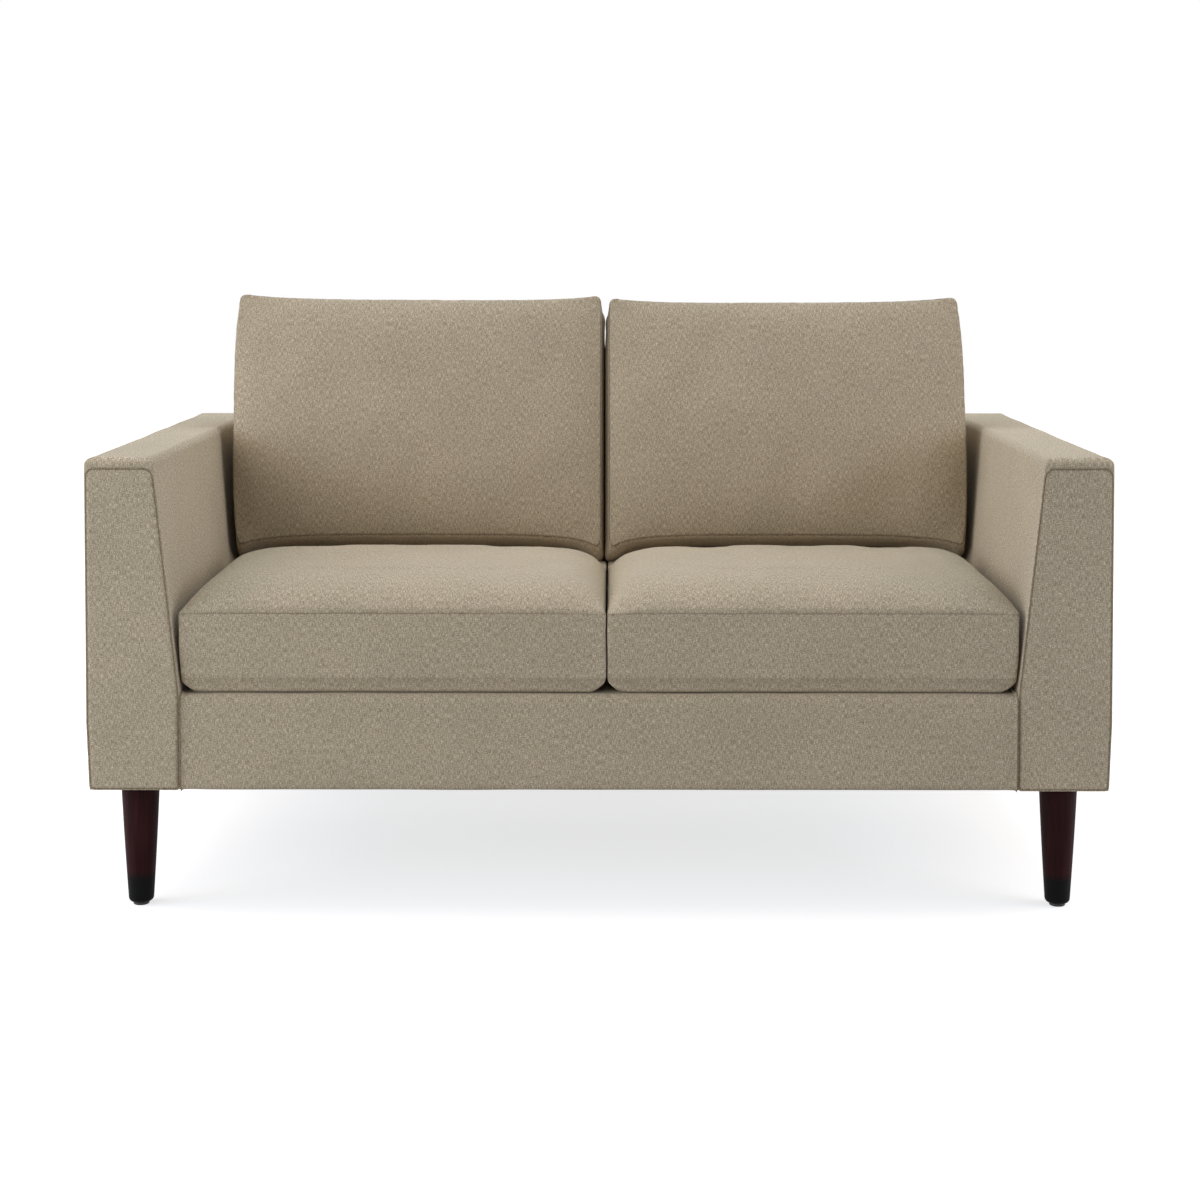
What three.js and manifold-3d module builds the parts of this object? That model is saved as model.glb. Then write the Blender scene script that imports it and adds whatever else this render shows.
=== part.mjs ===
// High back settee for two: boxed loose cushions between tapered track arms, on four turned legs.
// Millimetres, +Z up. The front faces -Y and the origin is on the floor under the middle.
// Left and right are as seen from the front.
import * as THREE from 'three';
import { mergeVertices } from 'three/addons/utils/BufferGeometryUtils.js';
import Module from 'manifold-3d';

const wasm = await Module();
wasm.setup();

// Overall sizes
const overallWidth = 1524;
const overallDepth = 864;
const bodyHeight = 686; // floor to the top of the arms and the back
const legHeight = 190; // floor to the hem of the upholstery
const deckHeight = 333; // floor to the deck that carries the seat cushions

// Fits and layers
const restGap = 0.3; // air between pieces that rest on each other
const cutOverrun = 60; // how far a cutting body stands past what it cuts
const windowClearance = 1; // round a rail where it passes through an arm's inner face
const coverThickness = 2.5; // upholstery cloth with its backing
const padThickness = 10; // foam wrap between the cloth and the timber
const boardThickness = 25;
const panelThickness = 18; // plywood end panels of the arms

// Arms
const armTopThickness = 101;
const armBaseThickness = 140;
const armEdgeRadius = 15; // along the two top edges
const armEndRound = 5; // round the upright edges at the front and rear
const armEndRoll = 13; // where the top rolls over the front and rear edges
const armHemDraw = 4; // the outer face draws in by this much towards the hem
const armHemHeight = 102;
const sideRailHeight = 100;

// Front rail
const railSetback = 1.5; // the rail's cloth lies this far behind the arm fronts
const railHemLift = 1.5; // and its hem this far above the arms' hem
const railEdgeRadius = 10;
const railCapDepth = 80; // how far the padded edge runs back over the deck

// Sprung deck
const deckPadThickness = 15;
const wireDiameter = 3.8;
const springRise = 14; // the arch of a spring between its clips
const springLoopWidth = 52;
const springEdgeInset = 70; // side of the deck to the nearest spring
const springsPerSeat = 4;
const loopsPerSpring = 7;
const clipPlate = 1.6;
const clipLength = 16;
const clipWidth = 26;
const tieDiameter = 3;
const stretcherHeight = 62;

// Back
const backBaseThickness = 238; // inside back to the rear face, at the deck
const backLeanDegrees = 13;
const backEdgeRadius = 18;
const backFold = 30; // the inside cloth comes this far down the rear
const uprightWidth = 70;

// Legs and what fastens them
const legTopDiameter = 58;
const legFootDiameter = 38;
const legFootRound = 7;
const legSideInset = 66; // arm's outer face to the leg's axis
const legFrontInset = 66; // arm front, or rear face, to the leg's axis
const legTuck = 1.4; // the leg's head stands this far inside the hem
const legPlateSize = 60;
const legPlateThickness = 3;
const cornerBlockReach = 35; // leg axis to the inner end of its corner block
const cornerBlockHeight = 40;
const boltDiameter = 8;
const boltGrip = 30; // length of bolt in the leg, and in the block
const glideDiameter = 24;
const glideHeight = 4;
const glidePinDiameter = 5;
const glidePinLength = 12;

// Dust cover under the frame
const dustThickness = 1.2;
const dustMargin = 12;
const legHoleClearance = 1;

// Cushions: what both kinds share
const cushionWall = 8; // cloth with its fibre wadding
const cushionArmClearance = 0.5;
const cushionSplitGap = 0.4; // between the two cushions of a pair
const zipRecess = 6; // from the band's surface to the back of the zip's tape
const zipLength = 440;
const zipTapeWidth = 26;
const zipThickness = 2;
const zipChainWidth = 6;
const zipChainRise = 1.5;
const zipSliderLength = 14;
const zipSliderRise = 1;

// A boxed cushion lies with its band between two seams, a belly below and a crown above.
const seatCushion = {
  frontInset: 8, // arm fronts to the front seams
  rearClearance: 1, // to the inside back
  split: 12, // the pair meets this far right of the middle
  band: 97,
  crown: 50,
  crownFlatness: { across: 10, along: 7 },
  pressedShare: 0.92, // of the crown's height that the back cushion presses down
  belly: 23,
  bellyRound: 18,
  bulge: { rear: 2, outer: 1.5, front: 3, inner: 1.5 }, // of the band between its seams
  cornerRadius: 8,
  draw: { rear: 3, outer: 2, front: 2, inner: 2 }, // how far each side draws in
  flareShare: 0.3, // of the arms' taper that the outer side follows
  zipSide: 1, // in the rear band
};
const backCushion = {
  height: 437,
  split: 8,
  topSpread: { left: 11, right: 0 }, // the outer side reaches this much further out at the top
  band: 150,
  crown: 28,
  crownFlatness: { across: 4, along: 4 },
  pressedShare: 0,
  belly: 18,
  bellyRound: 60,
  bulge: { rear: 4, outer: 2, front: 14, inner: 1.5 }, // rear is the top edge, front the bottom
  cornerRadius: 12,
  draw: { rear: 8, outer: -12, front: 13, inner: 0 },
  zipSide: -1, // in the bottom band
};

// A cushion's sides draw in evenly between their corners, and its crown rises steeply from its seam.
const drawFlatness = 4;
const crownSteepness = 1.5;

// Where on a seat cushion, from its middle to its rear seam, the press of the back cushion sets in
const pressShares = { from: 0.2, to: 0.55 };

// Shares of a cushion's size at which its surface has a ring of points
const fineDetail = {
  cornerSteps: 4,
  sideSteps: 7,
  bellyShares: [1, 0.35, 0.08],
  bandShares: [0.2, 0.5, 0.8],
  crownShares: [0.985, 0.95, 0.89, 0.8, 0.66, 0.42],
};
const plainDetail = {
  cornerSteps: 2,
  sideSteps: 3,
  bellyShares: [1],
  bandShares: [],
  crownShares: [0.8, 0.45],
};

// Facets
const arcSteps = 4;
const bevelSteps = 2;
const wireSides = 5;
const stepsPerLoop = 6;
const turnedSides = 20;
const smallSides = 10;
const legFootSteps = 3;
const dropPasses = 4; // steps in which a back cushion is lowered on to the seat

// Worked out from the sizes above
const halfWidth = overallWidth / 2;
const frontY = -overallDepth / 2;
const rearY = overallDepth / 2;
const quarterTurn = Math.PI / 2;
const backLean = THREE.MathUtils.degToRad(backLeanDegrees);
const frameInset = coverThickness + padThickness + 2 * restGap;
const armTaper = (armBaseThickness - armTopThickness) / (bodyHeight - deckHeight);
const hemTop = legHeight + armHemHeight;
const legTop = legHeight + legTuck;
const legPlateBottom = legTop + restGap;
const frameBottom = legPlateBottom + legPlateThickness + restGap;
const deckPadTop = deckHeight - coverThickness - restGap;
const deckPadBottom = deckPadTop - deckPadThickness;
const springCrest = deckPadBottom - restGap - wireDiameter / 2;
const springEnd = springCrest - springRise;
const railTop = springEnd - wireDiameter / 2 - clipPlate - restGap;
const railFrontY = frontY + railSetback;
const railBoardY = railFrontY + frameInset;
const backFootY = rearY - backBaseThickness;
const rearRailY = backFootY + frameInset;
const topBoardTop = bodyHeight - frameInset;
const topBoardBottom = topBoardTop - boardThickness;
const legX = halfWidth - legSideInset;
const legY = overallDepth / 2 - legFrontInset;

const armThicknessAt = (z) => armBaseThickness - armTaper * Math.max(z - deckHeight, 0);
const insideBackY = (z) => backFootY + Math.max(z - deckHeight, 0) * Math.tan(backLean);

// Where an arm's inner face lies at a height, moved into the arm by an inset.
function armInnerX(z, inset) {
  const square = z > deckHeight ? Math.cos(Math.atan(armTaper)) : 1;
  return halfWidth - armThicknessAt(z) + inset / square;
}

// Materials
const finishes = {
  cloth: { color: 0xa59882, roughness: 0.95, metalness: 0 },
  darkWood: { color: 0x2d1b1c, roughness: 0.4, metalness: 0 },
  timber: { color: 0xc9a877, roughness: 0.75, metalness: 0 },
  foam: { color: 0xe9e2cf, roughness: 0.95, metalness: 0 },
  steel: { color: 0x8c8f93, roughness: 0.4, metalness: 1 },
  nonwoven: { color: 0x1c1c1e, roughness: 0.95, metalness: 0 },
  nylon: { color: 0x2a2a2c, roughness: 0.5, metalness: 0 },
};

function piece(name, finish, geometry) {
  const mesh = new THREE.Mesh(geometry, new THREE.MeshStandardMaterial(finishes[finish]));
  mesh.name = name;
  return mesh;
}

// Turns a closed geometry into a solid that can be joined or cut.
function toSolid(geometry) {
  const bare = geometry.clone();
  bare.deleteAttribute('normal');
  bare.deleteAttribute('uv');
  const merged = mergeVertices(bare);
  const vertProperties = new Float32Array(merged.attributes.position.array);
  const triVerts = new Uint32Array(merged.index.array);
  return new wasm.Manifold(new wasm.Mesh({ numProp: 3, vertProperties, triVerts }));
}

function toGeometry(solid) {
  const { vertProperties, triVerts } = solid.getMesh();
  const geometry = new THREE.BufferGeometry();
  geometry.setAttribute('position', new THREE.BufferAttribute(vertProperties, 3));
  geometry.setIndex(new THREE.BufferAttribute(triVerts, 1));
  geometry.computeVertexNormals();
  return geometry;
}

const joined = (geometries) =>
  toGeometry(geometries.map(toSolid).reduce((whole, next) => whole.add(next)));
const without = (geometry, ...cuts) =>
  toGeometry(cuts.map(toSolid).reduce((left, cut) => left.subtract(cut), toSolid(geometry)));
const shared = (geometry, other) => toGeometry(toSolid(geometry).intersect(toSolid(other)));

// A rectangular block between two opposite corners
function block([x0, y0, z0], [x1, y1, z1]) {
  const geometry = new THREE.BoxGeometry(x1 - x0, y1 - y0, z1 - z0);
  return geometry.translate((x0 + x1) / 2, (y0 + y1) / 2, (z0 + z1) / 2);
}

// The same piece on the other side of the settee
function mirrored(geometry) {
  const copy = geometry.index ? geometry.toNonIndexed() : geometry.clone();
  copy.scale(-1, 1, 1);
  const { array } = copy.attributes.position;
  for (let i = 0; i < array.length; i += 9) {
    for (let k = 0; k < 3; k += 1) {
      [array[i + k], array[i + 3 + k]] = [array[i + 3 + k], array[i + k]];
    }
  }
  return copy;
}

// Directions that an outline's two axes and its extrusion take
const x = new THREE.Vector3(1, 0, 0);
const y = new THREE.Vector3(0, 1, 0);
const z = new THREE.Vector3(0, 0, 1);
const turns = {
  upwards: new THREE.Matrix4(),
  forwards: new THREE.Matrix4().makeBasis(x, z, y.clone().negate()),
  sideways: new THREE.Matrix4().makeBasis(y, z, x),
};

// Extrudes an outline: forwards runs from a rear Y to a front Y, sideways and upwards from low to high.
function extrude(points, way, from, to, bevel = 0) {
  const geometry = new THREE.ExtrudeGeometry(new THREE.Shape(points), {
    depth: Math.abs(to - from) - 2 * bevel,
    bevelEnabled: bevel > 0,
    bevelThickness: bevel,
    bevelSize: bevel,
    bevelOffset: -bevel,
    bevelSegments: bevelSteps,
  });
  const along = way === 'forwards' ? -from : from;
  return geometry.translate(0, 0, along + bevel).applyMatrix4(turns[way]);
}

// Moves a path of corners [across, up, radius] to its left by a distance.
function offsetCorners(corners, distance, closed) {
  const last = corners.length - 1;
  return corners.map(([a, b, radius = 0], i) => {
    const here = new THREE.Vector2(a, b);
    const normals = [];
    if (closed || i > 0) normals.push(leftOf(corners.at(i - 1), corners[i]));
    if (closed || i < last) normals.push(leftOf(corners[i], corners[(i + 1) % corners.length]));
    const [first, second = first] = normals;
    const miter = first.clone().add(second).divideScalar(1 + first.dot(second));
    here.addScaledVector(miter, distance);
    return [here.x, here.y, Math.max(radius - distance, 0)];
  });
}

function leftOf([a0, b0], [a1, b1]) {
  return new THREE.Vector2(b0 - b1, a1 - a0).normalize();
}

// Turns corners [across, up, radius] into points, with an arc at each corner that has a radius.
function roundCorners(corners) {
  return corners.flatMap(([a, b, radius = 0], i) => {
    const here = new THREE.Vector2(a, b);
    if (radius === 0) return [here];
    const [beforeA, beforeB] = corners.at(i - 1);
    const [afterA, afterB] = corners[(i + 1) % corners.length];
    const toBefore = new THREE.Vector2(beforeA, beforeB).sub(here).normalize();
    const toAfter = new THREE.Vector2(afterA, afterB).sub(here).normalize();
    const half = Math.acos(toBefore.dot(toAfter)) / 2;
    const middle = toBefore.clone().add(toAfter).normalize();
    const centre = here.clone().addScaledVector(middle, radius / Math.sin(half));
    const start = here.clone().addScaledVector(toBefore, radius / Math.tan(half)).sub(centre);
    const side = Math.sign(start.cross(middle.clone().negate()));
    const sweep = side * (Math.PI - 2 * half);
    return Array.from({ length: arcSteps + 1 }, (_, k) =>
      start.clone().rotateAround(new THREE.Vector2(), (sweep * k) / arcSteps).add(centre));
  });
}

// Outline of a layer that follows a path, between two distances to its left
function layerAlong(path, near, far) {
  const outer = roundCorners(offsetCorners(path, near, false));
  const inner = roundCorners(offsetCorners(path, far, false));
  return [...outer, ...inner.reverse()];
}

// The right arm as a rounded body, shrunk by an inset and running down past the hem
function armBody(inset) {
  const low = legHeight - cutOverrun;
  const outerLow = halfWidth - (armHemDraw * (hemTop - low)) / armHemHeight;
  const corners = [
    [halfWidth - armBaseThickness, low],
    [outerLow, low],
    [halfWidth, hemTop],
    [halfWidth, bodyHeight, armEdgeRadius],
    [halfWidth - armTopThickness, bodyHeight, armEdgeRadius],
    [halfWidth - armBaseThickness, deckHeight],
  ];
  const sideCorners = [
    [frontY, low],
    [rearY, low],
    [rearY, bodyHeight, armEndRoll],
    [frontY, bodyHeight, armEndRoll],
  ];
  const [section, sideView] = [corners, sideCorners].map((path) =>
    roundCorners(offsetCorners(path, inset, true)));
  return shared(
    extrude(section, 'forwards', rearY - inset, frontY + inset, Math.max(armEndRound - inset, 0)),
    extrude(sideView, 'sideways', 0, overallWidth),
  );
}

// What a body holds between two distances along the settee, above a height
const slice = (body, fromY, toY, above) =>
  shared(body, block([0, fromY, above], [halfWidth, toY, bodyHeight]));

// One layer of the right arm: a shell that is open at the hem, with windows for the rails
function armLayer(near, far, hem) {
  return without(slice(armBody(near), frontY, rearY, hem), armBody(far), ...railWindows());
}

function railWindows() {
  const inside = halfWidth - armTopThickness + frameInset + windowClearance;
  const outside = halfWidth - armBaseThickness - cutOverrun;
  const window = (y0, y1, z0, z1) => block(
    [outside, y0 - windowClearance, z0 - windowClearance],
    [inside, y1 + windowClearance, z1 + windowClearance],
  );
  return [
    window(railBoardY, railBoardY + boardThickness, frameBottom, railTop),
    window(rearRailY, rearRailY + boardThickness, frameBottom, railTop),
    window(topRailFrontY, rearY - frameInset, topBoardBottom, topBoardTop),
  ];
}

const topRailFrontY = insideBackY(topBoardTop) + frameInset / Math.cos(backLean);

// Everything that fills the width between the arms is trimmed to this body.
function betweenArms(gap) {
  const low = armInnerX(legHeight, -gap);
  const bend = armInnerX(deckHeight, -gap);
  const high = armInnerX(bodyHeight, -gap);
  const points = [[-low, legHeight], [low, legHeight], [bend, deckHeight], [high, bodyHeight],
    [-high, bodyHeight], [-bend, deckHeight]].map(([a, b]) => new THREE.Vector2(a, b));
  return extrude(points, 'forwards', rearY, frontY);
}

const acrossSeat = (points) =>
  shared(extrude(points, 'sideways', -halfWidth, halfWidth), betweenArms(restGap));

// Path of the front rail's cloth as [y, z]: from the deck over the padded edge to the hem
const railPath = [
  [railFrontY + railCapDepth, deckHeight],
  [railFrontY, deckHeight, railEdgeRadius],
  [railFrontY, legHeight + railHemLift],
];

// Path of the inside back's cloth: up the rear fold, over the top and down to the deck
const backPath = [
  [rearY, bodyHeight - backEdgeRadius - backFold],
  [rearY, bodyHeight, backEdgeRadius],
  [insideBackY(bodyHeight), bodyHeight, backEdgeRadius],
  [backFootY, deckHeight],
  [backFootY, deckPadBottom],
];

// A turned solid from a profile of [radius, height], which starts and ends on the axis
function turned(profile, sides) {
  const points = profile.map(([radius, height]) => new THREE.Vector2(radius, height));
  return new THREE.LatheGeometry(points, sides).rotateX(quarterTurn);
}

const rod = (radius, bottom, top, sides) =>
  turned([[0, bottom], [radius, bottom], [radius, top], [0, top]], sides);

// Sinuous seat springs

// A flat wavy wire that arches from the front rail to the rear rail
class SinuousLine extends THREE.Curve {
  constructor(centreX) {
    super();
    this.centreX = centreX;
  }

  getPoint(t, target = new THREE.Vector3()) {
    const start = railBoardY + boardThickness / 2;
    const end = rearRailY + boardThickness / 2;
    return target.set(
      this.centreX + (springLoopWidth / 2) * Math.sin(2 * Math.PI * loopsPerSpring * t),
      THREE.MathUtils.lerp(start, end, t),
      springEnd + springRise * Math.sin(Math.PI * t),
    );
  }
}

function wireRing(diameter) {
  return Array.from({ length: wireSides }, (_, i) => {
    const angle = (2 * Math.PI * i) / wireSides;
    return new THREE.Vector2(Math.cos(angle), Math.sin(angle)).multiplyScalar(diameter / 2);
  });
}

// The springs of one seat with the steel clips that hold their ends and the wire that ties them
function springSet(firstX, lastX) {
  const bodies = [];
  for (let i = 0; i < springsPerSeat; i += 1) {
    const line = new SinuousLine(THREE.MathUtils.lerp(firstX, lastX, i / (springsPerSeat - 1)));
    bodies.push(new THREE.ExtrudeGeometry(new THREE.Shape(wireRing(wireDiameter)), {
      steps: loopsPerSpring * stepsPerLoop,
      extrudePath: line,
    }));
    for (const end of [line.getPoint(0), line.getPoint(1)]) {
      const half = wireDiameter / 2 + clipPlate;
      bodies.push(block(
        [end.x - clipWidth / 2, end.y - clipLength / 2, end.z - half],
        [end.x + clipWidth / 2, end.y + clipLength / 2, end.z + half],
      ));
    }
  }
  const middle = new SinuousLine(firstX).getPoint(0.5);
  const reach = springLoopWidth / 2;
  bodies.push(extrude(wireRing(tieDiameter), 'sideways', firstX - reach, lastX + reach)
    .translate(0, middle.y, middle.z));
  return joined(bodies);
}

// Boxed cushions

// Seam outline of a cushion: rounded corners with sides that draw in between them
function cushionOutline(size, detail) {
  const { width, depth, cornerRadius, draw } = size;
  const reachX = width / 2 - cornerRadius;
  const reachY = depth / 2 - cornerRadius;
  const signs = [[1, 1], [-1, 1], [-1, -1], [1, -1]];
  const arcs = signs.map(([signX, signY], side) =>
    Array.from({ length: detail.cornerSteps + 1 }, (_, k) => {
      const angle = (side + k / detail.cornerSteps) * quarterTurn;
      return new THREE.Vector2(
        signX * reachX + cornerRadius * Math.cos(angle),
        signY * reachY + cornerRadius * Math.sin(angle),
      );
    }));
  const draws = [draw.rear, size.outerSign < 0 ? draw.outer : draw.inner, draw.front,
    size.outerSign < 0 ? draw.inner : draw.outer];
  return arcs.flatMap((arc, side) => {
    const start = arc.at(-1);
    const end = arcs[(side + 1) % arcs.length][0];
    const angle = (side + 1) * quarterTurn;
    const inward = new THREE.Vector2(-Math.cos(angle), -Math.sin(angle));
    const between = Array.from({ length: detail.sideSteps - 1 }, (_, k) => {
      const t = (k + 1) / detail.sideSteps;
      const amount = draws[side] * (1 - (2 * t - 1) ** drawFlatness);
      return start.clone().lerp(end, t).addScaledVector(inward, amount);
    });
    return [...arc, ...between];
  });
}

// Height of the crown above the upper seam, at a share of the way out to an outline point
function crownRise(size, point, share) {
  const across = Math.abs(point.x) / (size.width / 2);
  const along = Math.abs(point.y) / (size.depth / 2);
  const most = Math.max(across, along);
  const fall = (part, flatness) => (1 - ((share * part) / most) ** flatness) ** (1 / crownSteepness);
  const rearward = (share * point.y) / (most * (size.depth / 2));
  const pressed = THREE.MathUtils.smoothstep(rearward, pressShares.from, pressShares.to);
  return size.crown * fall(across, size.crownFlatness.across) * fall(along, size.crownFlatness.along)
    * (1 - size.pressedShare * pressed);
}

// Lofts a cushion's surface through rings of points, from the middle of its belly to its crown.
function cushionForm(size, detail, inset = 0) {
  const { width, depth, band, crown, belly, bellyRound, bulge, flare, spread, outerSign } = size;
  const outline = cushionOutline(size, detail);
  const ring = (growX, growY, height) => outline.map((point) => new THREE.Vector3(
    point.x * (1 + growX(point) / (width / 2)),
    point.y * (1 + growY(point) / (depth / 2)),
    height,
  ));
  const bulged = (share) => ring(
    (point) => Math.sin(Math.PI * share) * (point.x * outerSign > 0 ? bulge.outer : bulge.inner),
    (point) => Math.sin(Math.PI * share) * (point.y > 0 ? bulge.rear : bulge.front),
    band * share,
  );
  const rings = [
    ...detail.bellyShares.map((share) => {
      const draw = () => -bellyRound * share;
      return ring(draw, draw, -belly * Math.sqrt(1 - (1 - share) ** 2));
    }),
    ...[0, ...detail.bandShares, 1].map(bulged),
    ...detail.crownShares.map((share) => outline.map((point) => new THREE.Vector3(
      point.x * share,
      point.y * share,
      band + crownRise(size, point, share),
    ))),
  ];
  const points = [new THREE.Vector3(0, 0, -belly), ...rings.flat(), new THREE.Vector3(0, 0, band + crown)];
  const middle = (band + crown - belly) / 2;
  const shrink = (span) => (span - 2 * inset) / span;
  for (const point of points) {
    const side = Math.max((point.x * outerSign) / (width / 2), 0);
    const upShare = point.y / depth + 1 / 2;
    point.x += outerSign * side * (flare * THREE.MathUtils.clamp(point.z / band, 0, 1) + spread * upShare);
    point.x *= shrink(width);
    point.y *= shrink(depth);
    point.z = middle + (point.z - middle) * shrink(band + crown + belly);
  }
  const count = outline.length;
  const indices = [];
  for (let i = 0; i < count; i += 1) {
    const next = (i + 1) % count;
    indices.push(0, 1 + next, 1 + i);
    for (let k = 0; k < rings.length - 1; k += 1) {
      const low = 1 + k * count;
      const high = low + count;
      indices.push(low + i, low + next, high + next, high + next, high + i, low + i);
    }
    const top = 1 + (rings.length - 1) * count;
    indices.push(top + i, top + next, points.length - 1);
  }
  const geometry = new THREE.BufferGeometry().setFromPoints(points);
  geometry.setIndex(indices);
  geometry.computeVertexNormals();
  return geometry;
}

// Cover with its zip slot, foam core and zip of one cushion, in the cushion's own frame
function cushionPieces(kind, side, size) {
  const { depth, width, band, draw, bulge, zipSide } = size;
  const drawnIn = (zipSide > 0 ? draw.rear : draw.front) * (1 - (zipLength / width) ** drawFlatness);
  const swell = zipSide > 0 ? bulge.rear : bulge.front;
  const tapeY = depth / 2 - drawnIn + swell - zipRecess;
  const strip = (length, height, inner, outer) => {
    const ends = [zipSide * (tapeY + inner), zipSide * (tapeY + outer)];
    return block(
      [-length / 2, Math.min(...ends), (band - height) / 2],
      [length / 2, Math.max(...ends), (band + height) / 2],
    );
  };
  const slotDepth = 2 * cushionWall + swell;
  const slot = strip(zipLength + 2 * restGap, zipTapeWidth + 2 * restGap, -slotDepth, cutOverrun);
  const zip = joined([
    strip(zipLength, zipTapeWidth, 0, zipThickness),
    strip(zipLength - zipSliderLength, zipChainWidth, 0, zipThickness + zipChainRise),
    strip(zipSliderLength, zipChainWidth * 2, 0, zipThickness + zipChainRise + zipSliderRise),
  ]);
  const cover = without(cushionForm(size, fineDetail), cushionForm(size, plainDetail, cushionWall), slot);
  const core = cushionForm(size, plainDetail, cushionWall + restGap);
  return [
    piece(`${kind}_cushion_cover_${side}`, 'cloth', cover),
    piece(`${kind}_cushion_core_${side}`, 'foam', core),
    piece(`${kind}_cushion_zip_${side}`, 'nylon', zip),
  ];
}

// Width and middle of a cushion that reaches from the split to a limit at its arm
function spanBetween(split, sign, limit, bulge) {
  const inner = split + sign * (cushionSplitGap / 2 + bulge.inner);
  const outer = sign * (limit - cushionArmClearance - bulge.outer);
  return { width: Math.abs(outer - inner), middleX: (outer + inner) / 2 };
}

const seatSeamLow = deckHeight + restGap + seatCushion.belly;
const seatSeamHigh = seatSeamLow + seatCushion.band;
const seatMiddleBand = (seatSeamLow + seatSeamHigh) / 2;
const seatFrontY = frontY + seatCushion.frontInset;
const seatRearY = backFootY - seatCushion.rearClearance - seatCushion.bulge.rear;
const armFlare = armInnerX(seatSeamHigh, 0) - armInnerX(seatSeamLow, 0);

function seatSize(sign) {
  return {
    ...seatCushion,
    ...spanBetween(seatCushion.split, sign, armInnerX(seatSeamLow, 0), seatCushion.bulge),
    depth: seatRearY - seatFrontY,
    flare: armFlare * seatCushion.flareShare,
    spread: 0,
    outerSign: sign,
  };
}

function backSize(sign) {
  return {
    ...backCushion,
    ...spanBetween(backCushion.split, sign, armInnerX(seatMiddleBand, 0), backCushion.bulge),
    depth: backCushion.height,
    flare: 0,
    spread: sign < 0 ? backCushion.topSpread.left : backCushion.topSpread.right,
    outerSign: sign,
  };
}

// Height of the seat cushions' crown under a point, or the deck where no cushion lies
function seatSurface(atX, atY) {
  const size = seatSize(atX < seatCushion.split ? -1 : 1);
  const point = new THREE.Vector2(atX - size.middleX, atY - (seatFrontY + seatRearY) / 2);
  const share = Math.max(Math.abs(point.x) / (size.width / 2), Math.abs(point.y) / (size.depth / 2));
  if (share > 1) return deckHeight;
  return seatSeamHigh + crownRise(size, point, share);
}

// Slides a back cushion down the inside back until it lies on the seat cushions.
function backRestPlacement(size) {
  const up = new THREE.Vector3(0, Math.sin(backLean), Math.cos(backLean));
  const out = new THREE.Vector3(0, -Math.cos(backLean), Math.sin(backLean));
  const foot = new THREE.Vector3(size.middleX, backFootY, deckHeight)
    .addScaledVector(out, restGap + size.belly)
    .addScaledVector(up, size.depth / 2);
  const turn = new THREE.Matrix4().makeBasis(x, up, out);
  const points = cushionForm(size, fineDetail).attributes.position;
  const point = new THREE.Vector3();
  let rise = 0;
  for (let pass = 0; pass < dropPasses; pass += 1) {
    let least = Infinity;
    for (let i = 0; i < points.count; i += 1) {
      point.fromBufferAttribute(points, i).applyMatrix4(turn).add(foot).addScaledVector(up, rise);
      least = Math.min(least, point.z - seatSurface(point.x, point.y));
    }
    rise += (3 * restGap - least) / up.z;
  }
  return turn.setPosition(foot.addScaledVector(up, rise));
}

// Assembly
const settee = new THREE.Group();

// Timber seat frame between the arms
const railEndX = armInnerX(legHeight, frameInset) - restGap;
for (const [name, nearY] of [['front_rail', railBoardY], ['rear_rail', rearRailY]]) {
  const far = [railEndX, nearY + boardThickness, railTop];
  settee.add(piece(name, 'timber', block([-railEndX, nearY, frameBottom], far)));
}
settee.add(piece('centre_stretcher', 'timber', block(
  [-boardThickness / 2, railBoardY + boardThickness + restGap, frameBottom],
  [boardThickness / 2, rearRailY - restGap, frameBottom + stretcherHeight],
)));

// Timber back frame: a flat top rail and a leaning upright on the rear rail
const topRailOutline = [
  [-armInnerX(topBoardBottom, frameInset) + restGap, topBoardBottom],
  [armInnerX(topBoardBottom, frameInset) - restGap, topBoardBottom],
  [armInnerX(topBoardTop, frameInset) - restGap, topBoardTop],
  [-armInnerX(topBoardTop, frameInset) + restGap, topBoardTop],
].map(([a, b]) => new THREE.Vector2(a, b));
const insideBackOutline = roundCorners(offsetCorners(backPath, frameInset, false));
settee.add(piece('back_top_rail', 'timber', shared(
  extrude(topRailOutline, 'forwards', rearY - frameInset, topRailFrontY),
  extrude(insideBackOutline, 'sideways', -halfWidth, halfWidth),
)));
const uprightPath = [[insideBackY(bodyHeight), bodyHeight], [backFootY, deckHeight], [backFootY, legHeight]];
const uprightLayer = layerAlong(uprightPath, frameInset, frameInset + boardThickness);
settee.add(piece('back_upright', 'timber', shared(
  extrude(uprightLayer, 'sideways', -uprightWidth / 2, uprightWidth / 2),
  block([-uprightWidth, backFootY, railTop + restGap], [uprightWidth, rearY, topBoardBottom - restGap]),
)));

// Springs on the rails of each seat, then the deck pad and the deck cloth
const deckSide = armInnerX(legHeight, -restGap);
settee.add(piece('spring_set_left', 'steel', springSet(springEdgeInset - deckSide, -springEdgeInset)));
settee.add(piece('spring_set_right', 'steel', springSet(springEdgeInset, deckSide - springEdgeInset)));
const deckFrontY = railFrontY + railCapDepth + restGap;
settee.add(piece('deck_pad', 'foam', block(
  [-deckSide, deckFrontY, deckPadBottom],
  [deckSide, backFootY - restGap, deckPadTop],
)));
settee.add(piece('deck_cover', 'cloth', block(
  [-deckSide, deckFrontY, deckHeight - coverThickness],
  [deckSide, backFootY - restGap, deckHeight],
)));

// Front rail's foam edge and cloth
const innerPad = coverThickness + restGap;
settee.add(piece('front_rail_pad', 'foam',
  acrossSeat(layerAlong(railPath, innerPad, innerPad + padThickness))));
settee.add(piece('front_rail_cover', 'cloth', acrossSeat(layerAlong(railPath, 0, coverThickness))));

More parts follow.
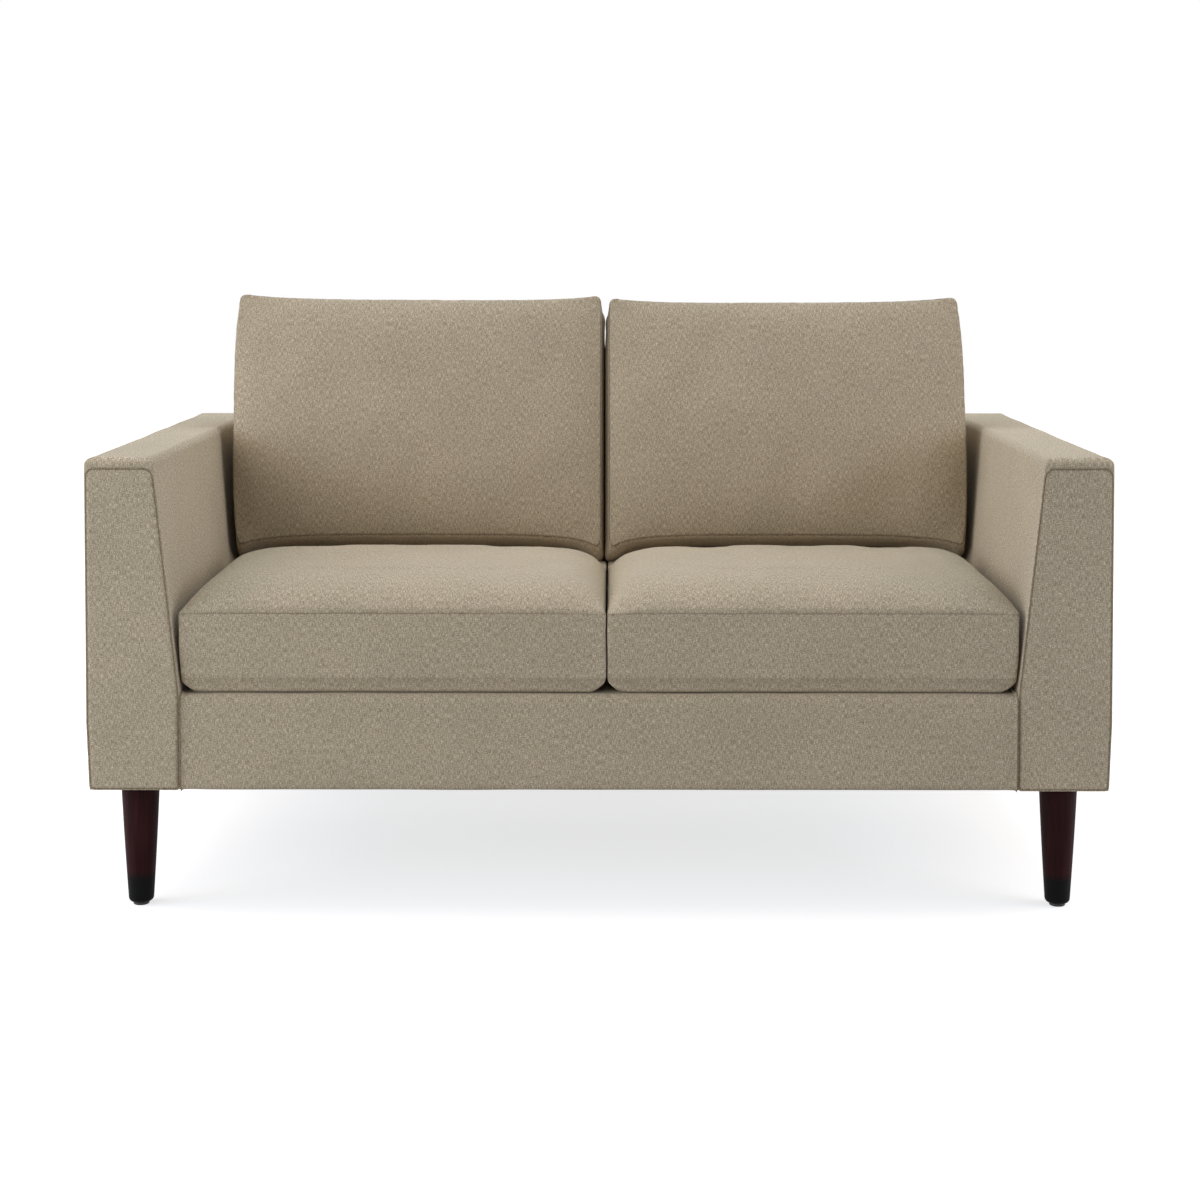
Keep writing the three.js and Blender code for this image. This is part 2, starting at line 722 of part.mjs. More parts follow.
// Back pad, the inside cloth over it and the flat outside cloth below its rear fold
settee.add(piece('back_pad', 'foam', acrossSeat(layerAlong(backPath, innerPad, innerPad + padThickness))));
settee.add(piece('inside_back_cover', 'cloth', acrossSeat(layerAlong(backPath, 0, coverThickness))));
settee.add(piece('outside_back_cover', 'cloth', shared(
  block(
    [-halfWidth, rearY - coverThickness, legHeight + railHemLift],
    [halfWidth, rearY, bodyHeight - backEdgeRadius - backFold - restGap],
  ),
  betweenArms(restGap),
)));

// Each arm: two plywood end panels, a top board, a side rail, foam and cloth
const panelFrontY = frontY + frameInset;
const panelRearY = rearY - frameInset;
const insideFrontY = panelFrontY + panelThickness + restGap;
const insideRearY = panelRearY - panelThickness - restGap;
const sideRailX = armInnerX(legHeight, frameInset);
const armCore = armBody(frameInset);
const armPieces = {
  front_panel: ['timber', slice(armCore, frontY, panelFrontY + panelThickness, frameBottom)],
  rear_panel: ['timber', slice(armCore, panelRearY - panelThickness, rearY, frameBottom)],
  top_board: ['timber', slice(armCore, insideFrontY, insideRearY, topBoardBottom)],
  side_rail: ['timber', block(
    [sideRailX, insideFrontY, frameBottom],
    [sideRailX + boardThickness, insideRearY, frameBottom + sideRailHeight],
  )],
  pad: ['foam', armLayer(innerPad, innerPad + padThickness, legHeight + railHemLift)],
  cover: ['cloth', armLayer(0, coverThickness, legHeight)],
};
for (const [name, [finish, geometry]] of Object.entries(armPieces)) {
  settee.add(piece(`arm_${name}_left`, finish, mirrored(geometry)));
  settee.add(piece(`arm_${name}_right`, finish, geometry));
}

// Legs: each is a tapered turning, held by a plate and a hanger bolt in a corner block, on a nylon glide.
const boltRadius = boltDiameter / 2;
const boreRadius = boltRadius + restGap;
const legBottom = glideHeight + restGap;

function legProfile() {
  const footRadius = legFootDiameter / 2;
  const pinRadius = glidePinDiameter / 2 + restGap;
  const foot = Array.from({ length: legFootSteps + 1 }, (_, k) => {
    const angle = (quarterTurn * k) / legFootSteps;
    return [
      footRadius - legFootRound * (1 - Math.sin(angle)),
      legBottom + legFootRound * (1 - Math.cos(angle)),
    ];
  });
  return [
    [0, legBottom + glidePinLength + restGap],
    [pinRadius, legBottom + glidePinLength + restGap],
    [pinRadius, legBottom],
    ...foot,
    [legTopDiameter / 2, legTop],
    [boreRadius, legTop],
    [boreRadius, legTop - boltGrip - restGap],
    [0, legTop - boltGrip - restGap],
  ];
}

function glideProfile() {
  const pinRadius = glidePinDiameter / 2;
  return [
    [0, 0],
    [glideDiameter / 2, 0],
    [glideDiameter / 2, glideHeight],
    [pinRadius, glideHeight],
    [pinRadius, glideHeight + glidePinLength],
    [0, glideHeight + glidePinLength],
  ];
}

const blockInnerX = sideRailX + boardThickness + restGap;
const blockOuterX = halfWidth - armHemDraw - frameInset;
const boltTop = frameBottom + boltGrip;
const boltHole = rod(boreRadius, legPlateBottom - cutOverrun, boltTop + restGap, smallSides);
const halfPlate = legPlateSize / 2;

for (const [end, endSign] of [['front', -1], ['rear', 1]]) {
  for (const [side, sideSign] of [['left', -1], ['right', 1]]) {
    const stand = new THREE.Group();
    stand.position.set(sideSign * legX, endSign * legY, 0);
    const spot = (name) => `${name}_${end}_${side}`;
    const blockX = [blockInnerX - legX, blockOuterX - legX].map((value) => value * sideSign);
    const blockY = [-cornerBlockReach, insideRearY - legY].map((value) => value * endSign);
    stand.add(piece(spot('corner_block'), 'timber', without(
      block(
        [Math.min(...blockX), Math.min(...blockY), frameBottom],
        [Math.max(...blockX), Math.max(...blockY), frameBottom + cornerBlockHeight],
      ),
      boltHole,
    )));
    stand.add(piece(spot('leg_plate'), 'steel', without(
      block(
        [-halfPlate, -halfPlate, legPlateBottom],
        [halfPlate, halfPlate, legPlateBottom + legPlateThickness],
      ),
      boltHole,
    )));
    stand.add(piece(spot('hanger_bolt'), 'steel', rod(boltRadius, legTop - boltGrip, boltTop, smallSides)));
    stand.add(piece(spot('leg'), 'darkWood', turned(legProfile(), turnedSides)));
    stand.add(piece(spot('glide'), 'nylon', turned(glideProfile(), smallSides)));
    settee.add(stand);
  }
}

// Dust cover stapled under the frame, with a hole for each leg
const dustTop = legHeight - restGap;
const legHole = rod(legTopDiameter / 2 + legHoleClearance, 0, bodyHeight, turnedSides);
const legHoles = [-legX, legX].flatMap((holeX) =>
  [-legY, legY].map((holeY) => legHole.clone().translate(holeX, holeY, 0)));
settee.add(piece('dust_cover', 'nonwoven', without(
  block(
    [dustMargin - halfWidth + armHemDraw, frontY + dustMargin, dustTop - dustThickness],
    [halfWidth - armHemDraw - dustMargin, rearY - dustMargin, dustTop],
  ),
  ...legHoles,
)));

// Loose cushions: two on the deck, and two that stand on them against the inside back
for (const [side, sign] of [['left', -1], ['right', 1]]) {
  const seat = seatSize(sign);
  const seatGroup = new THREE.Group();
  seatGroup.position.set(seat.middleX, (seatFrontY + seatRearY) / 2, seatSeamLow);
  seatGroup.add(...cushionPieces('seat', side, seat));
  settee.add(seatGroup);

  const back = backSize(sign);
  const backGroup = new THREE.Group();
  backRestPlacement(back).decompose(backGroup.position, backGroup.quaternion, backGroup.scale);
  backGroup.add(...cushionPieces('back', side, back));
  settee.add(backGroup);
}

export default settee;
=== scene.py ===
"""High back settee: two boxed seat cushions and two tall back cushions between tapered track arms."""
import math

import bpy
import numpy as np
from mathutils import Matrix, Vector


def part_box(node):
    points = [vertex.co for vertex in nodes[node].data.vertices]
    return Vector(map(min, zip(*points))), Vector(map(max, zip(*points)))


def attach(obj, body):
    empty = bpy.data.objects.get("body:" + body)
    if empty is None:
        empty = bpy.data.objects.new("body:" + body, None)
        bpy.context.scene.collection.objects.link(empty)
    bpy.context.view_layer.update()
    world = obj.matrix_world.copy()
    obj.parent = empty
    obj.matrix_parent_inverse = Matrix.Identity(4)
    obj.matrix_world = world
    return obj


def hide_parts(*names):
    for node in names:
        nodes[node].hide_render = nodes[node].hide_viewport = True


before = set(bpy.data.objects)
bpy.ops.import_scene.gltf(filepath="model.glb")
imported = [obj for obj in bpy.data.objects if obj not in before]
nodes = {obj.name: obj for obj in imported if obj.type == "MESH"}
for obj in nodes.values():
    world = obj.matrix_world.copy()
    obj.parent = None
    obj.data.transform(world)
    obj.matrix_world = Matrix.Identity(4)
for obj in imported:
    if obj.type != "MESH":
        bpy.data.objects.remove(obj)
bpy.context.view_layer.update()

scene = bpy.context.scene
scene.view_settings.view_transform = "Standard"

# Camera, lights and floor
# The camera stands 3 m in front, about a metre up, and looks almost level. A cool soft light hangs over the
# back and a warm one at each upper side. Cool ones lower down, one at the front left and one behind fill in,
# and the floor is plain and pale.

camera = bpy.data.objects.new("camera", bpy.data.cameras.new("camera"))
camera.location = (0.019, -3.483, 0.9924)
camera.rotation_euler = (math.radians(88), 0, math.radians(0.315))
camera.data.lens = 62.14
camera.data.sensor_width = 36
camera.data.shift_y = -0.2308
scene.collection.objects.link(camera)
scene.camera = camera
light_aim = (0, 0, 0.5)


def soft_light(name, place, size, watts, colour):
    """An area light at a place, turned towards the middle of the settee."""
    data = bpy.data.lights.new(name, "AREA")
    data.shape = "RECTANGLE"
    data.size, data.size_y = size
    data.energy = watts
    data.color = colour
    light = bpy.data.objects.new(name, data)
    light.location = place
    light.rotation_euler = Vector(np.subtract(light_aim, place)).to_track_quat("-Z", "Y").to_euler()
    scene.collection.objects.link(light)


soft_light("over_back", (0, 0.9, 3.2), (3.6, 1.4), 57, (0.77, 0.89, 1))
soft_light("left_high", (-2.9, -0.4, 2.6), (1.6, 2.4), 45, (1, 0.93, 0.93))
soft_light("right_high", (2.9, -0.4, 2.6), (1.6, 2.4), 39, (1, 0.88, 0.78))
soft_light("left_low", (-3.2, -1.6, 1.1), (1.8, 1.4), 45, (0.69, 0.81, 1))
soft_light("right_low", (3.2, -1.6, 1.1), (1.8, 1.4), 37, (0.68, 0.79, 1))
soft_light("front_left", (-2.2, -3.4, 1.6), (1.8, 1.4), 29, (1, 0.99, 0.95))
soft_light("behind", (0.6, 3.6, 1.7), (2.4, 1.4), 22, (1, 0.98, 0.95))


def link_node(tree, kind, inputs=None, **settings):
    """Adds a node. Each input is a value or the socket that feeds it."""
    made = tree.nodes.new(kind)
    for key, value in settings.items():
        setattr(made, key, value)
    for key, value in (inputs or {}).items():
        if isinstance(value, bpy.types.NodeSocket):
            tree.links.new(value, made.inputs[key])
        else:
            made.inputs[key].default_value = value
    return made


def maths(tree, operation, *values):
    return link_node(tree, "ShaderNodeMath", dict(enumerate(values)), operation=operation).outputs[0]


def mapped(tree, value, low, high, start=0.0, end=1.0):
    """A value that runs from start to end, made to run from low to high."""
    return link_node(tree, "ShaderNodeMapRange", {"Value": value, "From Min": start, "From Max": end,
                     "To Min": low, "To Max": high}).outputs[0]


def object_place(tree):
    return link_node(tree, "ShaderNodeTexCoord").outputs["Object"]


def seen_directly(tree):
    """1 for rays that come from the camera or by way of a mirror or glass."""
    path = link_node(tree, "ShaderNodeLightPath").outputs
    mirrored = maths(tree, "MAXIMUM", path["Is Glossy Ray"], path["Is Transmission Ray"])
    return maths(tree, "MAXIMUM", path["Is Camera Ray"], mirrored)


world = bpy.data.worlds.new("studio")
world.use_nodes = True
tree = world.node_tree
tree.nodes.clear()
ambient = link_node(tree, "ShaderNodeBackground", {"Color": (0.98, 0.99, 1, 1), "Strength": 0.13})
backdrop_white = link_node(tree, "ShaderNodeBackground", {"Color": (1, 1, 1, 1), "Strength": 1})
mixed = link_node(tree, "ShaderNodeMixShader", {0: seen_directly(tree), 1: ambient.outputs[0],
                  2: backdrop_white.outputs[0]})
link_node(tree, "ShaderNodeOutputWorld", {"Surface": mixed.outputs[0]})
scene.world = world

floor_reach, near_glow, glow_start, glow_end = 9.0, 0.72, 1.3, 2.3
floor_mesh = bpy.data.meshes.new("floor")
floor_mesh.from_pydata([(x * floor_reach, y * floor_reach, 0) for x, y in ((-1, -1), (1, -1), (1, 1), (-1, 1))],
                       [], [(0, 1, 2, 3)])
floor = bpy.data.objects.new("floor", floor_mesh)
scene.collection.objects.link(floor)
floor_paint = bpy.data.materials.new("pale_floor")
floor_paint.use_nodes = True
tree = floor_paint.node_tree
tree.nodes.clear()
matt = link_node(tree, "ShaderNodeBsdfDiffuse", {"Color": (0.62, 0.61, 0.6, 1)})
from_middle = link_node(tree, "ShaderNodeVectorMath", {0: object_place(tree)}, operation="LENGTH").outputs
far_away = mapped(tree, from_middle["Value"], near_glow, 1.0, glow_start, glow_end)
glow = link_node(tree, "ShaderNodeEmission", {"Color": (1, 1, 1, 1), "Strength": far_away})
no_glow = link_node(tree, "ShaderNodeEmission", {"Strength": 0})
shown = link_node(tree, "ShaderNodeMixShader", {0: seen_directly(tree), 1: no_glow.outputs[0],
                  2: glow.outputs[0]})
added = link_node(tree, "ShaderNodeAddShader", {0: matt.outputs[0], 1: shown.outputs[0]})
link_node(tree, "ShaderNodeOutputMaterial", {"Surface": added.outputs[0]})
floor_mesh.materials.append(floor_paint)

# Seat frame, springs and the timber of the arms and the back
# Sawn boards and plywood panels are screwed together, steel plates and bolts take the legs, and wire springs
# hang in clips. All lie inside the upholstery, keep the CAD's shapes and take a grained or metal finish.


def stretched_noise(tree, vector, scale, detail=2.0, roughness=0.5):
    """Noise over coordinates that are first scaled by three factors."""
    scaled = link_node(tree, "ShaderNodeVectorMath", {0: vector, 1: scale}, operation="MULTIPLY")
    noise = link_node(tree, "ShaderNodeTexNoise", {"Vector": scaled.outputs[0], "Scale": 1.0,
                      "Detail": detail, "Roughness": roughness})
    return noise.outputs["Fac"]


def weighted(tree, *terms):
    """The sum of values, each times its share."""
    total, *others = [maths(tree, "MULTIPLY", value, share) for value, share in terms]
    for other in others:
        total = maths(tree, "ADD", total, other)
    return total


def ramp(tree, fac, stops):
    made = link_node(tree, "ShaderNodeValToRGB", {"Fac": fac})
    elements = made.color_ramp.elements
    for k, (place, colour) in enumerate(stops):
        stop = elements[k] if k < 2 else elements.new(place)
        stop.position = place
        stop.color = (*colour, 1)
    return made.outputs["Color"]


def mix_colour(tree, blend, fac, first, second):
    return link_node(tree, "ShaderNodeMix", {"Factor": fac, 6: first, 7: second}, data_type="RGBA",
                     blend_type=blend).outputs[2]


def bumped(tree, height, strength, distance):
    return link_node(tree, "ShaderNodeBump", {"Height": height, "Strength": strength,
                     "Distance": distance}).outputs[0]


def new_material(name):
    material = bpy.data.materials.new(name)
    material.use_nodes = True
    material.node_tree.nodes.clear()
    return material, material.node_tree


def shaded(tree, colour, roughness, normal, **constants):
    """Closes a material's tree. Constants go straight on the shader's own sockets."""
    shader = link_node(tree, "ShaderNodeBsdfPrincipled", {"Base Color": colour, "Roughness": roughness,
                       "Normal": normal})
    for label, value in constants.items():
        shader.inputs[label.replace("_", " ")].default_value = value
    link_node(tree, "ShaderNodeOutputMaterial", {"Surface": shader.outputs[0]})


def grain_material(name, dark, light, along, gloss, specular=0.4, foot=None):
    """Wood whose grain runs along one axis. foot is a height in metres below which the stain is black."""
    material, tree = new_material(name)
    place = object_place(tree)
    fibre_scale, pore_scale = [150.0] * 3, [750.0] * 3
    fibre_scale[along], pore_scale[along] = 6.0, 225.0
    fibre = stretched_noise(tree, place, fibre_scale, 4.0, 0.6)
    pore = stretched_noise(tree, place, pore_scale, 1.0)
    cloud = stretched_noise(tree, place, (9, 9, 9), 2.0)
    colour = ramp(tree, weighted(tree, (fibre, 0.65), (cloud, 0.35)), [(0.38, dark), (0.64, light)])
    if foot:
        height = link_node(tree, "ShaderNodeSeparateXYZ", {0: place}).outputs[2]
        uneven = maths(tree, "ADD", height, maths(tree, "MULTIPLY", cloud, 0.006))
        edge = mapped(tree, uneven, 0.0, 1.0, foot - 0.005, foot + 0.007)
        colour = mix_colour(tree, "MIX", edge, (0.0035, 0.0035, 0.0037, 1), colour)
    bump = bumped(tree, maths(tree, "ADD", fibre, pore), 0.25, 0.0003)
    shaded(tree, colour, mapped(tree, pore, gloss - 0.08, gloss + 0.1), bump, Specular_IOR_Level=specular)
    return material


def speckled_material(name, dark, light, scale, gloss, relief, **constants):
    """Metal, plastic or felted fibre with a fine speckle in its colour, gloss and surface."""
    material, tree = new_material(name)
    place = object_place(tree)
    speckle = stretched_noise(tree, place, (scale, scale, scale), 4.0, 0.6)
    cloud = stretched_noise(tree, place, (14, 14, 14), 2.0)
    tone = weighted(tree, (speckle, 0.6), (cloud, 0.4))
    colour = ramp(tree, tone, [(0.36, dark), (0.64, light)])
    shaded(tree, colour, mapped(tree, tone, gloss - 0.1, gloss + 0.1), bumped(tree, speckle, 0.4, relief),
           **constants)
    return material


timber = {axis: grain_material(f"frame_timber_{axis}", (0.42, 0.26, 0.13), (0.62, 0.44, 0.25), k, 0.7)
          for k, axis in enumerate("xyz")}
plywood = grain_material("panel_plywood", (0.5, 0.34, 0.19), (0.68, 0.5, 0.31), 2, 0.75)
plated_steel = speckled_material("plated_steel", (0.4, 0.4, 0.4), (0.55, 0.55, 0.54), 500, 0.35, 0.00005,
                                 Metallic=1.0)
spring_steel = speckled_material("spring_steel", (0.012, 0.012, 0.013), (0.03, 0.03, 0.032), 500, 0.4, 0.00005)

inner_finish = {
    "front_rail": timber["x"], "rear_rail": timber["x"], "centre_stretcher": timber["y"],
    "back_top_rail": timber["x"], "back_upright": timber["z"],
}
for side in ("left", "right"):
    inner_finish[f"spring_set_{side}"] = spring_steel
    inner_finish[f"arm_top_board_{side}"] = inner_finish[f"arm_side_rail_{side}"] = timber["y"]
    for end in ("front", "rear"):
        inner_finish[f"arm_{end}_panel_{side}"] = plywood
        inner_finish[f"corner_block_{end}_{side}"] = timber["x"]
        inner_finish[f"leg_plate_{end}_{side}"] = inner_finish[f"hanger_bolt_{end}_{side}"] = plated_steel
for name, finish in inner_finish.items():
    for material_slot in nodes[name].material_slots:
        material_slot.material = finish

# Arms
# Each arm is foam over a board frame, wrapped in one length of cloth from hem to hem, with a panel sewn in at the
# front and the rear. The wrap rolls over the top edges, and the seams lie in a shallow groove just inside the edge,
# where the cloth's colour carries painted shade. The cloth is a heathered plain weave, which follows each panel's
# own flat coordinates in metres.

half_width, front_y, rear_y = 762.0, -432.0, 432.0
body_top, hem, deck = 686.0, 190.0, 333.0
arm_top, arm_base = 101.0, 140.0
side_tuck, tuck_height, tuck_round = 4.0, 102.0, 260.0
hem_round, outer_round, inner_round, taper_round = 3.0, 11.0, 13.0, 160.0
edge_round, edge_roll, panel_drop, panel_groove = 2.6, 13.0, 17.0, 1.3
wrap_length = rear_y - front_y - 2 * edge_round
seam_steps = (0.9, 2, 3.4, 5.4, 8.4)
panel_flat, side_flat = 900.0, 350.0


def shader_group(name, inputs, outputs):
    """An empty shader group with sockets of these names and kinds."""
    group = bpy.data.node_groups.new(name, "ShaderNodeTree")
    for label, kind, value in inputs:
        group.interface.new_socket(label, in_out="INPUT", socket_type=kind).default_value = value
    for label, kind in outputs:
        group.interface.new_socket(label, in_out="OUTPUT", socket_type=kind)
    return group, group.nodes.new("NodeGroupInput"), group.nodes.new("NodeGroupOutput")


weave, entry, leave = shader_group("heathered_weave", [
    ("Threads per metre", "NodeSocketFloat", 1000.0),
    ("Thread relief", "NodeSocketFloat", 0.00022),
], [("Color", "NodeSocketColor"), ("Roughness", "NodeSocketFloat"), ("Normal", "NodeSocketVector")])
flat_place = link_node(weave, "ShaderNodeUVMap", uv_map="cloth").outputs["UV"]
thread_place = link_node(weave, "ShaderNodeVectorMath", {0: flat_place,
                         "Scale": entry.outputs["Threads per metre"]}, operation="SCALE").outputs[0]
ways = link_node(weave, "ShaderNodeSeparateXYZ", {0: thread_place}).outputs
warp_hump, weft_hump = [maths(weave, "ABSOLUTE", maths(weave, "SINE", maths(weave, "MULTIPLY", way, math.pi)))
                        for way in ways[:2]]
lifted = link_node(weave, "ShaderNodeVectorMath", {0: thread_place, 1: (0, 0, 0.5)}, operation="ADD").outputs[0]
over = link_node(weave, "ShaderNodeTexChecker", {"Vector": lifted, "Scale": 1.0}).outputs["Fac"]
thread_height = link_node(weave, "ShaderNodeMix", {"Factor": over, 2: warp_hump, 3: weft_hump}).outputs[0]
warp_slub = stretched_noise(weave, thread_place, (1.05, 0.13, 1), 1.0, 0.6)
weft_slub = stretched_noise(weave, thread_place, (0.2, 1.05, 1), 1.0, 0.6)
slub = link_node(weave, "ShaderNodeMix", {"Factor": 0.42, 2: warp_slub, 3: weft_slub}).outputs[0]
fleck = stretched_noise(weave, thread_place, (1.2, 1.0, 1), 0.0)
yarn = ramp(weave, weighted(weave, (slub, 0.62), (fleck, 0.38)), [
    (0.375, (0.22, 0.168, 0.102)), (0.625, (0.86, 0.746, 0.578)),
    (0.455, (0.39, 0.311, 0.209)), (0.54, (0.53, 0.442, 0.313))])
cloud = stretched_noise(weave, flat_place, (7, 7, 1), 3.0)
streak = stretched_noise(weave, flat_place, (190, 20, 1), 2.0)
mottle = stretched_noise(weave, flat_place, (230, 230, 1), 1.0)
worn = ramp(weave, weighted(weave, (cloud, 0.4), (streak, 0.35), (mottle, 0.25)),
            [(0.4, (0.89, 0.9, 0.885)), (0.6, (1, 0.99, 0.985))])
cloth_colour = mix_colour(weave, "MULTIPLY", 1.0, yarn, worn)
# Painted shade: the seam attribute of each mesh darkens the cloth's colour towards a dark brown, most in seam
# grooves and where the cloth tucks in against the arms.
groove = link_node(weave, "ShaderNodeAttribute", attribute_name="seam").outputs["Fac"]
cloth_colour = mix_colour(weave, "MULTIPLY", maths(weave, "MULTIPLY", groove, 0.8), cloth_colour,
                          (0.3, 0.25, 0.19, 1))
weave_bump = bumped(weave, weighted(weave, (thread_height, 0.3), (slub, 1.1)), 0.8,
                    entry.outputs["Thread relief"])
for label, socket in (("Color", cloth_colour), ("Roughness", mapped(weave, slub, 0.97, 0.82)),
                      ("Normal", weave_bump)):
    weave.links.new(socket, leave.inputs[label])


def cloth_material(name, tint):
    material, tree = new_material(name)
    group = link_node(tree, "ShaderNodeGroup", node_tree=weave).outputs
    shaded(tree, mix_colour(tree, "MULTIPLY", 1.0, group["Color"], (*tint, 1)), group["Roughness"],
           group["Normal"], Sheen_Weight=0.12, Sheen_Roughness=0.5, Specular_IOR_Level=0.15)
    return material


upholstery = cloth_material("upholstery_cloth", (1, 1, 1))


def arm_inner_x(z):
    """Where the arm's inner face lies at a height."""
    taper = (arm_base - arm_top) / (body_top - deck)
    return half_width - arm_base + taper * np.maximum(np.asarray(z, float) - deck, 0)


def smooth(value):
    value = np.clip(value, 0, 1)
    return value * value * (3 - 2 * value)


def groove_at(distance, width=2.2):
    return np.exp(-(distance / width) ** 2)


def ripple(across, along, wavelength, seed, waves=14):
    """Smooth unevenness between -1 and 1, about a wavelength from crest to crest."""
    random = np.random.default_rng(seed)
    total = np.zeros(np.broadcast(across, along).shape)
    for _ in range(waves):
        angle = random.uniform(0, math.tau)
        size = math.tau / (wavelength * random.uniform(0.7, 1.8))
        total += np.sin(size * (np.cos(angle) * across + np.sin(angle) * along) + random.uniform(0, math.tau))
    return total / math.sqrt(waves) * 0.7


def slack(depth, across, along, wavelength, seed, away, start, fade):
    """Uneven slack in a cloth, up to twice a depth, which grows from a start away from the seam."""
    return depth * (1 + ripple(across, along, wavelength, seed)) * smooth((away - start) / fade)


def puckers(depth, along, wavelength, seed, away, width):
    """Small gathers across a seam, strongest 5 mm away from it."""
    return depth * ripple(along, 0 * along, wavelength, seed) * groove_at(away - 5, width)


def spaced(length, step):
    """Places from 0 to a length: close together near both ends, about a step apart between them."""
    ends = [0.0, *[value for value in seam_steps if value < length / 2 - 1]]
    count = max(int(round((length - 2 * ends[-1]) / step)), 1)
    middle = np.linspace(ends[-1], length - ends[-1], count + 1)[1:-1]
    return np.array([*ends, *middle, *[length - value for value in reversed(ends)]])


def reach_of(line):
    """How far along a line each of its points lies."""
    return np.concatenate([[0], np.cumsum(np.linalg.norm(np.diff(line, axis=0), axis=1))])


def on_line(places, reach, line):
    """Points of a line at places along it."""
    return np.stack([np.interp(places, reach, column) for column in line.T], axis=1)


def rounded_path(corners, closed, grain=0.5):
    """Dense points [n, 2] along corners (across, up, radius), with an arc at each that has a radius."""
    points = []
    count = len(corners)
    for k, corner in enumerate(corners):
        here = np.array(corner[:2], float)
        radius = corner[2] if len(corner) > 2 else 0
        if radius == 0 or (not closed and k in (0, count - 1)):
            points.append(here[None])
            continue
        before = np.array(corners[k - 1][:2], float) - here
        after = np.array(corners[(k + 1) % count][:2], float) - here
        before /= np.linalg.norm(before)
        after /= np.linalg.norm(after)
        half = math.acos(np.clip(before @ after, -1, 1)) / 2
        middle = (before + after) / np.linalg.norm(before + after)
        centre = here + middle * radius / math.sin(half)
        start = here + before * radius / math.tan(half) - centre
        sweep = math.copysign(math.pi - 2 * half, start[0] * -middle[1] + start[1] * middle[0])
        angles = np.linspace(0, sweep, 17)[:, None]
        points.append(centre + np.concatenate([start[0] * np.cos(angles) - start[1] * np.sin(angles),
                                               start[0] * np.sin(angles) + start[1] * np.cos(angles)], axis=1))
    path = np.concatenate(points + ([points[0][:1]] if closed else []))
    reach = reach_of(path)
    dense = np.linspace(0, reach[-1], int(reach[-1] / grain) + 1)
    return on_line(dense, reach, path), dense


def along_path(path, reach, places, span=1.5):
    """Points and left-hand normals of a dense path at places along it."""
    ahead = on_line(np.minimum(places + span, reach[-1]), reach, path)
    way = ahead - on_line(np.maximum(places - span, 0), reach, path)
    way /= np.linalg.norm(way, axis=1)[:, None]
    return on_line(places, reach, path), np.stack([-way[:, 1], way[:, 0]], axis=1)


def quads_of(index):
    """The quads between the points of a grid, given the number of each point."""
    return np.stack([index[:-1, :-1], index[1:, :-1], index[1:, 1:], index[:-1, 1:]], axis=-1).reshape(-1, 4)


def welded_object(name, patches):
    """One mesh from patches (base, final, flat, seam): grids of points in millimetres, where points that share a
    base place are welded, flat is the cloth's own coordinates, and seam is painted shade, the share by which the
    cloth's colour is darkened, 1 in a seam's groove."""
    bases, finals, flats, seam_shades = [np.concatenate([patch[k].reshape(-1, width) for patch in patches])
                                   for k, width in enumerate((3, 3, 2, 1))]
    _, owner = np.unique(np.round(bases, 2), axis=0, return_inverse=True)
    owner = owner.reshape(-1)
    count = np.bincount(owner)
    merged = np.stack([np.bincount(owner, finals[:, k]) / count for k in range(3)], axis=1)
    faces, corners, start = [], [], 0
    for patch in patches:
        rows, columns = patch[0].shape[:2]
        for quad in quads_of(start + np.arange(rows * columns).reshape(rows, columns)):
            kept = [i for k, i in enumerate(quad) if owner[i] != owner[quad[k - 1]]]
            if len(kept) > 2:
                faces.append([int(owner[i]) for i in kept])
                corners.extend(kept)
        start += rows * columns
    mesh = bpy.data.meshes.new(name)
    mesh.from_pydata((merged / 1000).tolist(), [], faces)
    mesh.uv_layers.new(name="cloth").data.foreach_set("uv", (flats[corners] / 1000).reshape(-1))
    # The painted shade goes to the cloth's shader as the point attribute seam.
    seam = np.bincount(owner, seam_shades[:, 0]) / count
    mesh.attributes.new("seam", "FLOAT", "POINT").data.foreach_set("value", seam)
    mesh.update()
    normals, centres = [np.array([getattr(polygon, value) for polygon in mesh.polygons])
                        for value in ("normal", "center")]
    areas = np.array([polygon.area for polygon in mesh.polygons])
    if ((centres - centres.mean(0)) * normals * areas[:, None]).sum() < 0:
        mesh.flip_normals()
    mesh.shade_smooth()
    piece = bpy.data.objects.new(name, mesh)
    scene.collection.objects.link(piece)
    return piece


def make_piece(name, patches, body, finish, stands_for):
    """A finished piece from patches, on the body that carries it, in place of the CAD nodes it stands for."""
    piece = welded_object(name, patches)
    piece.data.materials.append(finish)
    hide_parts(*stands_for)
    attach(piece, body)


def rolled_back(z):
    """How far the front of an arm lies behind its front plane at a height, where the top rolls over."""
    above = np.clip(z - (body_top - edge_roll), 0, edge_roll)
    return edge_roll - np.sqrt(edge_roll ** 2 - above ** 2)


def arm_outline(inset, top, low_round):
    """Corners (x, z, radius) of an arm seen from the front, an inset inside its edge and up to a height."""
    inner, outer = half_width - arm_base + inset, half_width - inset
    return [(inner, hem + inset, low_round), (outer - side_tuck, hem + inset, low_round),
            (outer, hem + tuck_height, tuck_round), (outer, top, outer_round),
            (float(arm_inner_x(top)) + inset, top, inner_round), (inner, deck, taper_round)]


arm_corners = arm_outline(0, body_top, hem_round)
arm_path, arm_reach = rounded_path(arm_corners, True)
top_corners = [arm_reach[np.linalg.norm(arm_path - corner[:2], axis=1).argmin()] for corner in arm_corners[3:5]]
arm_places = np.unique(np.round(np.concatenate([
    np.linspace(0, arm_reach[-1], int(arm_reach[-1] / 6.5) + 1),
    *[place + np.arange(-22, 23) * 1.0 for place in top_corners]]), 3))
arm_places = arm_places[np.concatenate([[True], np.diff(arm_places) > 0.5])]
arm_points, arm_normals = along_path(arm_path, arm_reach, arm_places)
arm_points[-1], arm_normals[-1] = arm_points[0], arm_normals[0]

